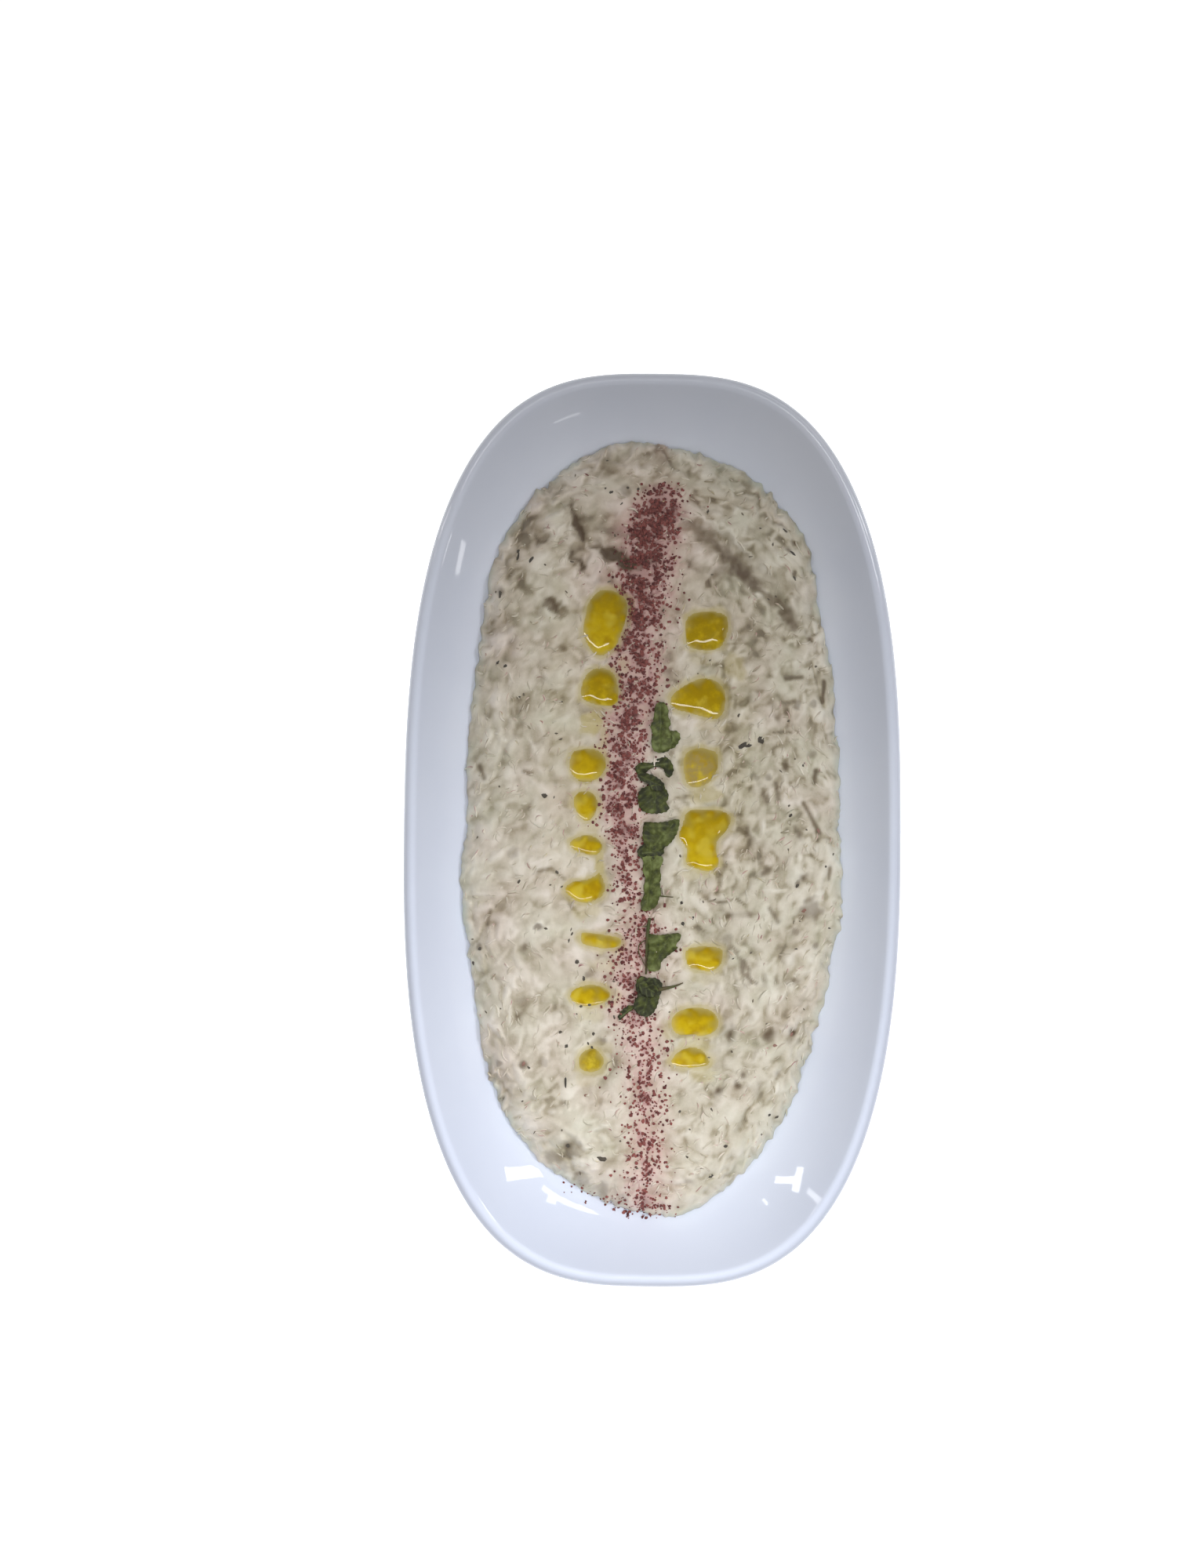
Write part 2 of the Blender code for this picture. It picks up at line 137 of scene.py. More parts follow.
class Recipe:
    def __init__(self, name, **values):
        self.material = bpy.data.materials.new(name)
        self.material.use_nodes = True
        self.tree = self.material.node_tree
        self.shader = self.tree.nodes["Principled BSDF"]
        for socket, value in values.items():
            self.shader.inputs[socket.replace("_", " ")].default_value = value
        self.place = self.tree.nodes.new("ShaderNodeTexCoord").outputs["Object"]

    def link(self, source, target):
        self.tree.links.new(source, target)

    def toShader(self, source, socket):
        self.link(source, self.shader.inputs[socket])

    def attribute(self, name):
        node = self.tree.nodes.new("ShaderNodeAttribute")
        node.attribute_name = name
        return node.outputs["Fac"]

    def noise(self, size, detail=2.0, roughness=0.5, stretch=(1.0, 1.0, 1.0)):
        mapping = self.tree.nodes.new("ShaderNodeMapping")
        mapping.inputs["Scale"].default_value = stretch
        self.link(self.place, mapping.inputs["Vector"])
        node = self.tree.nodes.new("ShaderNodeTexNoise")
        node.inputs["Scale"].default_value = 1.0 / (size * mm)
        node.inputs["Detail"].default_value = detail
        node.inputs["Roughness"].default_value = roughness
        self.link(mapping.outputs["Vector"], node.inputs["Vector"])
        return node.outputs["Fac"]

    def ramp(self, source, *stops):
        node = self.tree.nodes.new("ShaderNodeValToRGB")
        marks = node.color_ramp.elements
        while len(marks) < len(stops):
            marks.new(0.5)
        for mark, (place, colour) in zip(marks, stops):
            mark.position = place
            mark.color = (*colour, 1.0) if isinstance(colour, tuple) else (colour, colour, colour, 1.0)
        self.link(source, node.inputs["Fac"])
        return node.outputs["Color"]

    def math(self, operation, first, second=0.0, clamp=False):
        node = self.tree.nodes.new("ShaderNodeMath")
        node.operation = operation
        node.use_clamp = clamp
        for socket, value in zip(node.inputs, (first, second)):
            if isinstance(value, float):
                socket.default_value = value
            else:
                self.link(value, socket)
        return node.outputs["Value"]

    def mix(self, share, first, second, blend="MIX"):
        node = self.tree.nodes.new("ShaderNodeMix")
        node.data_type = "RGBA"
        node.blend_type = blend
        sockets = {s.identifier: s for s in node.inputs}
        for key, value in (("Factor_Float", share), ("A_Color", first), ("B_Color", second)):
            if isinstance(value, float):
                sockets[key].default_value = value
            elif isinstance(value, tuple):
                sockets[key].default_value = (*value, 1.0)
            else:
                self.link(value, sockets[key])
        return {s.identifier: s for s in node.outputs}["Result_Color"]

    def bump(self, source, depth, strength=1.0):
        node = self.tree.nodes.new("ShaderNodeBump")
        node.inputs["Distance"].default_value = depth * mm
        node.inputs["Strength"].default_value = strength
        self.link(source, node.inputs["Height"])
        self.toShader(node.outputs["Normal"], "Normal")


# The dish

dishShape = {
    "powerX": 2.94, "powerY": 2.60,     # how square the oval is
    "wall": 3.2, "endSlope": 20.0,
    "floor": 6.0, "wellInset": 19.5,
    "crestInset": 2.3, "crestRound": 2.2,
    "slopes": [(3.7, 46.0), (10.0, 41.5), (18.5, 33.5), (21.0, 25.0), (24.0, 10.0), (27.5, 0.0)],
    "footInset": 31.0, "footWidth": 3.2, "footTaper": 0.6, "footRound": 0.5,
    "steps": 224, "wallSteps": 44, "lipStep": 8.0,
}
glazeLook = {
    "colour": (0.735, 0.775, 0.868), "deep": (0.705, 0.747, 0.848),
    # rim colour and its far and near shares: painted shade on the outer lip, slight at the far end and heavy at the
    # near end
    "rim": (0.40, 0.42, 0.48), "rimShadeFar": 0.08, "rimShadeNear": 0.65,
    "roughness": 0.035, "ripple": 0.02,
}
dishLow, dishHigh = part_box("dish")
dishHalfX = (dishHigh.x - dishLow.x) / 2.0 / mm
dishHalfY = (dishHigh.y - dishLow.y) / 2.0 / mm
dishTop = dishHigh.z / mm


def signedPower(value, power):
    return np.sign(value) * np.abs(value) ** power


def ovalPoint(turn, inset):
    x = (dishHalfX - inset) * signedPower(np.cos(turn), 2.0 / dishShape["powerX"])
    y = (dishHalfY - inset) * signedPower(np.sin(turn), 2.0 / dishShape["powerY"])
    return x, y


def ovalInset(x, y):
    low = np.zeros_like(x)
    high = np.full_like(x, dishHalfX - 1.0)
    for _ in range(30):
        middle = (low + high) / 2.0
        reach = np.abs(x / (dishHalfX - middle)) ** dishShape["powerX"]
        reach += np.abs(y / (dishHalfY - middle)) ** dishShape["powerY"]
        high = np.where(reach > 1.0, middle, high)
        low = np.where(reach > 1.0, low, middle)
    return low


lipRadius = dishShape["wall"] / 2.0
endSlope = math.radians(dishShape["endSlope"])
wallTopInset = lipRadius * (1.0 + math.sin(endSlope))
wallRun = dishShape["wellInset"] - wallTopInset
wallRise = dishTop - lipRadius * (1.0 - math.cos(endSlope)) - dishShape["floor"]
straightShare = math.tan(endSlope) * wallRun / wallRise


def wallHeight(inset):
    climb = np.clip((dishShape["wellInset"] - inset) / wallRun, 0.0, 1.0)
    curve = (1.0 - straightShare) * smoothStep(climb) + straightShare * climb
    return dishShape["floor"] + wallRise * curve


def innerTable():       # height of the inner face, summed up from its slopes
    insets = np.arange(dishShape["slopes"][0][0], 34.0, 0.05)
    slopes = np.interp(insets, *zip(*dishShape["slopes"]))
    drops = np.concatenate([[0.0], np.cumsum(np.tan(np.radians(slopes[:-1])) * 0.05)])
    return insets, dishShape["floor"] + drops[-1] - drops


innerInsets, innerHeights = innerTable()


def innerHeight(inset):
    return np.interp(inset, innerInsets, innerHeights)


def dishProfile():
    shape = dishShape
    inner = [(inset, float(innerHeight(inset)))
             for inset in np.linspace(shape["wellInset"] + 11.0, shape["slopes"][0][0], shape["wallSteps"])]
    top, crest = inner[-1], shape["crestRound"]
    slope = shape["slopes"][0][1]
    middle = (top[0] - crest * math.sin(math.radians(slope)), dishTop - crest)
    lift = middle[1] + crest * math.cos(math.radians(slope)) - top[1]
    inner = [(inset, height + lift * smoothStep(1.0 - (inset - top[0]) / 5.0)) for inset, height in inner]
    lip = []
    turn = slope - shape["lipStep"]
    while turn > -126.0:
        bend = math.radians(turn)
        across = crest if turn > 0.0 else middle[0]
        lip.append((middle[0] + across * math.sin(bend), middle[1] + crest * math.cos(bend)))
        turn -= shape["lipStep"]
    outer = []
    for climb in np.linspace(0.97, 0.0, shape["wallSteps"]):
        inset = shape["wellInset"] - climb * wallRun
        slope = math.atan(((1.0 - straightShare) * 6.0 * climb * (1.0 - climb) + straightShare) * wallRise / wallRun)
        outer.append((inset - shape["wall"] * math.sin(slope),
                      float(wallHeight(inset)) - shape["wall"] * math.cos(slope)))
    under = outer[-1][1]
    start, end = shape["footInset"], shape["footInset"] + shape["footWidth"]
    taper, soft = shape["footTaper"], shape["footRound"]
    foot = [(start - taper, under), (start - 0.2 * taper, soft), (start + soft, 0.0),
            (end - soft, 0.0), (end + 0.2 * taper, soft), (end + taper, under)]
    return inner + lip + outer + foot


def makeDish(material):
    bm = bmesh.new()
    verts = [bm.verts.new((dishHalfY - inset, 0.0, height)) for inset, height in dishProfile()]
    edges = [bm.edges.new(pair) for pair in zip(verts, verts[1:])]
    bmesh.ops.spin(bm, geom=verts + edges, cent=(0.0, 0.0, 0.0), axis=(0.0, 0.0, 1.0),
                   angle=math.tau, steps=dishShape["steps"], use_merge=True)
    bmesh.ops.remove_doubles(bm, verts=bm.verts, dist=0.005)
    for vert in bm.verts:
        inset = dishHalfY - math.hypot(vert.co.x, vert.co.y)
        x, y = ovalPoint(math.atan2(vert.co.y, vert.co.x), inset)
        vert.co = Vector((float(x), float(y), vert.co.z)) * mm
    bmesh.ops.holes_fill(bm, edges=[edge for edge in bm.edges if edge.is_boundary], sides=0)
    bmesh.ops.recalc_face_normals(bm, faces=bm.faces)
    dish = addPiece("dish_glazed", bm, material, ["dish"], sharp=50.0)
    points = getPoints(dish.data)
    # painted shade on the outer lip, stronger toward the near end, kept in the rim attribute
    share = mixValue(glazeLook["rimShadeFar"], glazeLook["rimShadeNear"], smoothStep(0.5 - points[:, 1] / 160.0))
    setAttribute(dish.data, "rim", share * smoothStep((2.7 - ovalInset(points[:, 0], points[:, 1])) / 2.2))
    return dish


def glazeMaterial():
    recipe = Recipe("white_glaze", Roughness=glazeLook["roughness"], IOR=1.5)
    cloud = recipe.noise(34.0, 3.0)
    colour = recipe.ramp(cloud, (0.35, glazeLook["deep"]), (0.65, glazeLook["colour"]))
    # mixes the painted lip shade from the rim attribute into the glaze colour
    recipe.toShader(recipe.mix(recipe.attribute("rim"), colour, glazeLook["rim"]), "Base Color")
    recipe.bump(recipe.noise(9.0, 1.0), glazeLook["ripple"])
    return recipe.material


# The dip: its outline and smooth form

dipShape = {
    "halfX": 52.5, "halfY": 108.0, "crown": 18.4,
    "edge": 0.35, "edgeRound": 1.2,
    "shoulder": 17.0, "shoulderPower": 0.84,
    "troughX": (-16.3, 13.6), "troughWidth": 6.5, "troughDepth": 1.5, "troughHalf": 74.0,
    "strokeCentre": (6.0, 52.0), "strokeRadius": 28.8, "strokeWidth": 2.6, "strokeDepth": 1.7,
    "strokeCrest": 1.3, "strokeMiddle": 45.0, "strokeHalfAngle": 48.0,
    "lump": 0.35, "wobble": (0.6, 0.85, 1.0), "drawIn": 0.6,
    "cellsX": 212, "cellsY": 426, "edgeDensity": 1.12,
}
dipOutline = [
    (52.7, 0.0), (52.8, 10.8), (52.3, 22.0), (51.5, 31.0), (51.0, 42.0), (49.0, 51.0), (47.0, 61.0),
    (45.6, 71.0), (43.4, 80.5), (38.6, 87.9), (31.0, 95.8), (21.3, 102.6), (10.5, 106.0), (-0.8, 108.0),
    (-11.6, 107.9), (-22.3, 102.8), (-32.0, 95.3), (-39.4, 86.0), (-44.3, 75.0), (-47.2, 63.4),
    (-48.6, 52.0), (-49.8, 42.5), (-50.9, 32.0), (-51.8, 21.6), (-52.2, 11.0), (-51.6, 1.5), (-52.9, -7.0),
    (-53.4, -16.0), (-52.5, -25.5), (-51.2, -35.0), (-49.4, -46.0), (-48.0, -55.5), (-45.9, -66.0),
    (-42.2, -76.0), (-36.9, -86.0), (-29.3, -94.6), (-20.3, -100.4), (-10.1, -104.9), (0.8, -107.9),
    (11.4, -107.0), (21.6, -100.4), (30.2, -92.0), (36.9, -82.0), (41.8, -71.8), (44.9, -61.3), (47.4, -52.0),
    (50.0, -42.0), (51.6, -31.5), (53.3, -22.0), (53.4, -12.0),
]


def reachTable():
    loop = smoothLoop(dipOutline, 720)
    turns = np.arctan2(loop[:, 1] / dipShape["halfY"], loop[:, 0] / dipShape["halfX"]) % math.tau
    reach = np.hypot(loop[:, 0] / dipShape["halfX"], loop[:, 1] / dipShape["halfY"])
    order = np.argsort(turns)
    return turns[order], reach[order]


tableTurns, tableReach = reachTable()


def outlineReach(turn):
    return np.interp(turn % math.tau, tableTurns, tableReach, period=math.tau)


def outlineWobble(turn):    # in millimetres, along the reach
    x, y = 52.0 * np.cos(turn), 108.0 * np.sin(turn)
    slow, middle, quick = dipShape["wobble"]
    patchy = np.clip(0.5 + 1.6 * noiseAt(x, y, 9.0, 15.8), 0.0, 1.2)
    sway = slow * noiseAt(x, y, 7.0, 3.7) + middle * noiseAt(x, y, 3.1, 9.2)
    sway += quick * patchy * noiseAt(x, y, 1.5, 12.6)
    return sway - dipShape["drawIn"]


def reliefBelow(x, y):      # troughs, the spoon's stroke and slow swells
    shape = dipShape
    height = np.zeros_like(x)
    ends = smoothStep((shape["troughHalf"] - np.abs(y)) / 12.0)
    for middle in shape["troughX"]:
        height -= shape["troughDepth"] * ends * np.exp(-((x - middle) / shape["troughWidth"]) ** 2)
    across, along = x - shape["strokeCentre"][0], y - shape["strokeCentre"][1]
    radius = np.hypot(across, along)
    turn = np.abs(np.degrees(np.arctan2(along, across)) - shape["strokeMiddle"])
    fade = smoothStep((shape["strokeHalfAngle"] - turn) / 16.0)
    offset = radius - shape["strokeRadius"]
    width = shape["strokeWidth"]
    height -= shape["strokeDepth"] * fade * np.exp(-(offset / width) ** 2)
    height += shape["strokeCrest"] * fade * np.exp(-((offset - 1.9 * width) / width) ** 2)
    swell = np.sin(x / 7.0 + 1.3) * np.cos(y / 11.0)
    swell += np.sin((x + y) / 13.0 + 0.4) * np.cos((x - 0.6 * y) / 9.0 + 2.1)
    return height + shape["lump"] * swell


def dipBase(x, y):      # the smooth surface and how far inside the outline each spot is
    shape = dipShape
    turn = np.arctan2(y / shape["halfY"], x / shape["halfX"])
    reach = outlineReach(turn)
    share = np.hypot(x / shape["halfX"], y / shape["halfY"]) / reach
    edgeX, edgeY = shape["halfX"] * reach * np.cos(turn), shape["halfY"] * reach * np.sin(turn)
    surface = innerHeight(ovalInset(edgeX, edgeY))
    width = reach / np.hypot(np.cos(turn) / shape["halfX"], np.sin(turn) / shape["halfY"])
    inward = np.clip(1.0 - share, 0.0, 1.0) * width
    rounding = (1.0 - (1.0 - np.minimum(inward / shape["shoulder"], 1.0)) ** 2) ** shape["shoulderPower"]
    lip = np.sqrt(1.0 - (1.0 - np.minimum(inward / shape["edgeRound"], 1.0)) ** 2)
    edge = surface - 0.1 + (shape["edge"] + 0.3) * lip
    return edge + (shape["crown"] + reliefBelow(x, y) - edge) * rounding, inward


# Oil: the pools' outlines about the middles of their CAD nodes

oilPools = {
    "left_1": [(-2.3, 8.8), (1.2, 9.0), (4.2, 7.4), (5.6, 5.0), (5.2, 0.6), (3.7, -3.8), (2.2, -7.0),
               (-2.0, -9.4), (-4.9, -7.0), (-6.5, -3.0), (-6.0, 2.2), (-4.9, 6.0)],
    "left_2": [(-1.7, 5.7), (1.8, 5.6), (4.0, 3.7), (4.9, 0.0), (4.7, -3.6), (2.3, -4.8), (-1.6, -4.2),
               (-4.9, -2.6), (-5.3, 0.4), (-4.1, 3.7)],
    "left_3": [(-4.2, 3.7), (-1.2, 4.5), (2.3, 4.2), (4.5, 2.4), (5.1, -0.6), (3.2, -3.4), (-0.2, -4.3),
               (-3.3, -3.7), (-4.9, -1.6), (-5.0, 1.5)],
    "left_4": [(-1.9, 4.5), (1.1, 4.3), (2.9, 1.8), (2.4, -1.2), (0.3, -3.7), (-2.0, -2.4), (-3.7, 0.8),
               (-3.5, 3.2)],
    "left_5": [(-3.7, 2.0), (-0.7, 3.0), (2.4, 2.5), (4.4, 0.1), (3.1, -2.3), (-0.6, -2.1), (-3.5, -1.0),
               (-4.7, 0.8)],
    "left_6": [(-5.9, 0.2), (-3.5, 2.3), (-0.3, 2.7), (2.0, 3.6), (3.7, 4.7), (4.8, 2.8), (5.4, -0.2),
               (3.4, -2.6), (0.0, -3.6), (-3.5, -2.6)],
    "left_7": [(-5.5, 1.9), (-1.4, 1.7), (2.0, 1.3), (5.0, 0.4), (4.8, -1.7), (0.9, -2.3), (-2.7, -1.7),
               (-5.3, -0.9)],
    "left_8": [(-4.6, 1.3), (-0.7, 2.5), (3.2, 2.0), (5.3, 0.3), (4.6, -1.8), (1.5, -3.0), (-1.9, -3.2),
               (-4.8, -2.1), (-5.6, -0.5)],
    "left_9": [(-2.2, 1.9), (0.4, 2.9), (2.5, 1.3), (3.5, -1.0), (2.0, -3.2), (-1.1, -3.7), (-3.3, -2.3),
               (-3.4, 0.2)],
    "right_1": [(-5.0, 4.0), (-1.8, 5.4), (2.6, 5.4), (5.5, 4.2), (6.2, 1.3), (5.1, -2.7), (3.4, -4.8),
                (-0.8, -5.4), (-4.8, -4.2), (-5.7, -1.5), (-5.8, 2.0)],
    "right_2": [(-3.7, 3.9), (0.6, 5.6), (4.1, 5.2), (6.7, 3.1), (7.5, -0.4), (6.6, -4.2), (4.6, -5.6),
                (1.6, -5.1), (-2.6, -3.9), (-6.0, -3.1), (-7.8, -1.2), (-7.3, 1.2)],
    "right_3": [(-3.9, 4.4), (-0.5, 5.5), (3.6, 4.5), (4.6, 2.1), (3.9, -1.4), (1.6, -4.3), (-1.4, -5.4),
                (-4.0, -4.4), (-5.0, -0.6), (-4.9, 2.6)],
    "right_4": [(-4.6, 7.3), (-0.3, 7.9), (4.7, 7.6), (7.4, 5.7), (6.2, 1.9), (3.8, -0.7), (3.4, -3.7),
                (4.2, -7.2), (1.4, -9.2), (-2.3, -8.3), (-4.9, -7.0), (-4.9, -2.9), (-6.9, 0.5), (-5.9, 4.0)],
    "right_5": [(-4.7, 1.9), (-1.3, 3.0), (3.0, 3.0), (5.4, 1.7), (4.9, -1.8), (2.5, -3.7), (-0.9, -3.4),
                (-4.2, -2.2)],
    "right_6": [(-5.7, 2.1), (-2.2, 3.8), (2.9, 3.7), (5.7, 1.8), (6.2, -1.2), (3.6, -3.4), (-1.3, -3.8),
                (-5.2, -3.1), (-6.6, -0.5)],
    "right_7": [(-2.4, 2.6), (0.4, 3.5), (3.3, 2.7), (5.0, 0.7), (5.3, -1.3), (1.3, -2.1), (-2.2, -2.0),
                (-5.0, -0.8), (-4.0, 1.2)],
}
oilShape = {
    "rise": 0.50, "width": 1.7,         # of the rim where the oil climbs the dip
    "low": {"left_7": 0.08, "right_6": 0.10, "left_9": 0.25, "left_4": 0.3, "left_5": 0.35, "left_8": 0.3,
            "left_1": 0.6, "right_4": 0.6, "right_1": 0.6},
    "wide": {"right_1": 1.9, "left_3": 1.3, "left_4": 1.0, "left_5": 0.9, "left_6": 1.2, "left_7": 1.0,
             "left_8": 1.0, "left_9": 1.2},
    "bank": 1.8,                        # how far out the dip is drawn to the oil
    "hollow": 2.2, "points": 72, "rings": 14, "ripple": 0.02,
}
oilFilms = [    # x, y, width, length, strength of thin oil on the dip
    (-17.1, 28.1, 3.6, 4.2, 1.0), (-13.5, 23.5, 1.4, 5.5, 0.5), (22.6, 43.6, 3.4, 4.6, 0.55),
    (-14.4, -10.6, 1.5, 6.4, 1.0), (-18.0, -23.8, 4.6, 2.6, 0.45), (-17.6, 10.2, 3.4, 2.4, 0.35),
    (-17.4, -0.6, 3.4, 2.6, 0.55), (-16.5, -51.6, 5.2, 2.8, 0.35), (12.2, -60.0, 6.2, 2.2, 0.6),
    (14.6, 8.6, 5.2, 3.0, 0.7), (12.6, -13.2, 5.8, 2.4, 0.35), (14.6, -41.6, 5.2, 2.2, 0.3),
    (-13.2, -38.5, 5.0, 2.0, 0.3), (17.0, 27.5, 5.5, 2.4, 0.35), (-10.0, -47.0, 2.2, 2.6, 0.5),
    (-8.0, 44.5, 2.0, 3.0, 0.35), (13.6, 46.0, 4.6, 1.8, 0.3), (-17.5, -69.5, 3.6, 2.2, 0.3),
    (-15.5, -5.5, 4.2, 3.0, 0.5), (-15.0, -16.5, 4.2, 2.6, 0.6), (-13.5, -31.0, 4.0, 3.0, 0.35),
    (14.5, -68.0, 5.0, 2.6, 0.5), (5.5, -56.0, 3.0, 4.0, 0.45), (-14.0, -61.5, 4.0, 3.0, 0.35),
    (-24.0, 20.0, 7.0, 58.0, 0.14), (21.0, 18.0, 8.0, 44.0, 0.13),
]


def poolPlaces():
    places = {}
    for name, points in oilPools.items():
        node = "oil_pool_" + name
        middle = boxMiddle(node)
        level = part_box(node)[1].z / mm
        loop = smoothLoop(points, oilShape["points"]) + np.array([middle.x, middle.y])
        places[name] = (loop, level)
    return places


pools = poolPlaces()


def meniscus(name, depthIn):
    width = oilShape["wide"].get(name, oilShape["width"])
    rise = oilShape["low"].get(name, oilShape["rise"])
    return rise * np.exp(-np.maximum(depthIn, 0.0) / width)


def makePool(name, material):
    loop, level = pools[name]
    middle = loop.mean(0)
    bm = bmesh.new()
    bmesh.ops.create_circle(bm, cap_ends=False, segments=len(loop), radius=1.0)
    for vert, (x, y) in zip(list(bm.verts), loop):
        vert.co = (*(middle + ((x, y) - middle) * 1.07), 0.0)
    edges = list(bm.edges)
    shares = [1.0] + list(1.0 - np.linspace(0.0, 1.0, oilShape["rings"]) ** 1.5)[1:]
    previous = 1.07
    for share in shares[:-1]:
        ring = bmesh.ops.extrude_edge_only(bm, edges=edges)["geom"]
        edges = [item for item in ring if isinstance(item, bmesh.types.BMEdge)]
        for vert in (item for item in ring if isinstance(item, bmesh.types.BMVert)):
            vert.co.xy = Vector(middle) + (vert.co.xy - Vector(middle)) * (share / previous)
        previous = share
    bmesh.ops.holes_fill(bm, edges=edges, sides=0)
    rim = [edge for edge in bm.edges if edge.is_boundary]
    points = np.array([vert.co[:] for vert in bm.verts])
    inward = -loopDistance(points[:, 0], points[:, 1], loop)
    sway = 1.0 + 0.3 * noiseAt(points[:, 0], points[:, 1], 3.6, 40.7)
    heights = level + meniscus(name, inward) * sway + np.minimum(inward, 0.0) * 0.8
    heights += oilShape["ripple"] * noiseAt(points[:, 0], points[:, 1], 2.3, 43.1)
    for vert, height in zip(bm.verts, heights):
        vert.co.z = height
    previous = 1.07
    for share, drop in ((0.9, 0.9), (0.55, 1.7)):
        ring = bmesh.ops.extrude_edge_only(bm, edges=rim)["geom"]
        rim = [item for item in ring if isinstance(item, bmesh.types.BMEdge)]
        for vert in (item for item in ring if isinstance(item, bmesh.types.BMVert)):
            vert.co.xy = Vector(middle) + (vert.co.xy - Vector(middle)) * (share / previous)
            vert.co.z = level - drop
        previous = share
    bmesh.ops.holes_fill(bm, edges=rim, sides=0)
    bmesh.ops.recalc_face_normals(bm, faces=bm.faces)
    bmesh.ops.scale(bm, verts=bm.verts, vec=(mm, mm, mm))
    piece = addPiece("oil_" + name, bm, material, ["oil_pool_" + name], sharp=60.0)
    points = getPoints(piece.data)
    inward = np.maximum(-loopDistance(points[:, 0], points[:, 1], loop), 0.0)
    low, high = loop.min(0), loop.max(0)
    # along runs from the near edge to the far edge; the material darkens the oil toward the far edge as painted shade
    along = (points[:, 1] - low[1]) / (high[1] - low[1])
    away = points[:, :2] - middle
    facing = (away[:, 0] * 0.5 + away[:, 1] * 0.87) / np.maximum(np.hypot(*away.T), 0.2)
    patchy = np.clip(1.0 + 1.5 * noiseAt(points[:, 0], points[:, 1], 2.0, 55.5), 0.3, 1.8)
    setAttribute(piece.data, "along", along)
    setAttribute(piece.data, "shaded", np.exp(-inward / (1.3 * patchy)) * smoothStep(0.5 + 0.9 * facing))
    setAttribute(piece.data, "thin", np.exp(-(inward / (0.65 * patchy)) ** 1.3))
    return piece


oilLook = {
    # near, middle and far: oil colours from the near edge to the far edge, darker at the far edge as painted shade
    "near": (0.61, 0.438, 0.010), "middle": (0.51, 0.345, 0.004), "far": (0.355, 0.230, 0.003),
    "deep": (0.39, 0.235, 0.002), "pale": (0.66, 0.52, 0.06),
    "shaded": (0.19, 0.135, 0.004), "thin": (0.48, 0.385, 0.13), "roughness": 0.03,
    "murky": {      # pools of another tone, and how much of it
        "right_3": ((0.375, 0.275, 0.080), 1.0), "left_9": ((0.30, 0.21, 0.015), 0.8),
        "right_2": ((0.33, 0.215, 0.002), 0.65), "left_2": ((0.31, 0.20, 0.003), 0.6),
        "right_1": ((0.29, 0.19, 0.004), 0.65),
    },
}


def oilMaterial(name="olive_oil", tone=None, share=1.0):
    look = oilLook
    recipe = Recipe(name, Roughness=look["roughness"], IOR=1.47)
    cloud = recipe.noise(2.4, 3.0, 0.6)
    sway = recipe.math("MULTIPLY", recipe.math("SUBTRACT", cloud, 0.5), 0.9)
    along = recipe.math("ADD", recipe.attribute("along"), sway)
    # darker toward the far edge: painted shade
    colour = recipe.ramp(along, (0.05, look["near"]), (0.45, look["middle"]), (1.0, look["far"]))
    colour = recipe.mix(recipe.ramp(recipe.noise(3.6, 2.0), (0.50, 0.0), (0.66, 0.8)), colour, look["deep"])
    colour = recipe.mix(recipe.ramp(recipe.noise(4.4, 1.0), (0.52, 0.0), (0.68, 0.5)), colour, look["pale"])
    if tone:
        colour = recipe.mix(recipe.ramp(cloud, (0.36, 0.25 * share), (0.56, share)), colour, tone)
    colour = recipe.mix(recipe.math("MULTIPLY", recipe.attribute("shaded"), 0.9, True), colour, look["shaded"])
    colour = recipe.mix(recipe.math("MULTIPLY", recipe.attribute("thin"), 0.85, True), colour, look["thin"])
    recipe.toShader(colour, "Base Color")
    return recipe.material


# The dip's surface: chopped pulp laid chunk by chunk over a sheet, coated in cream

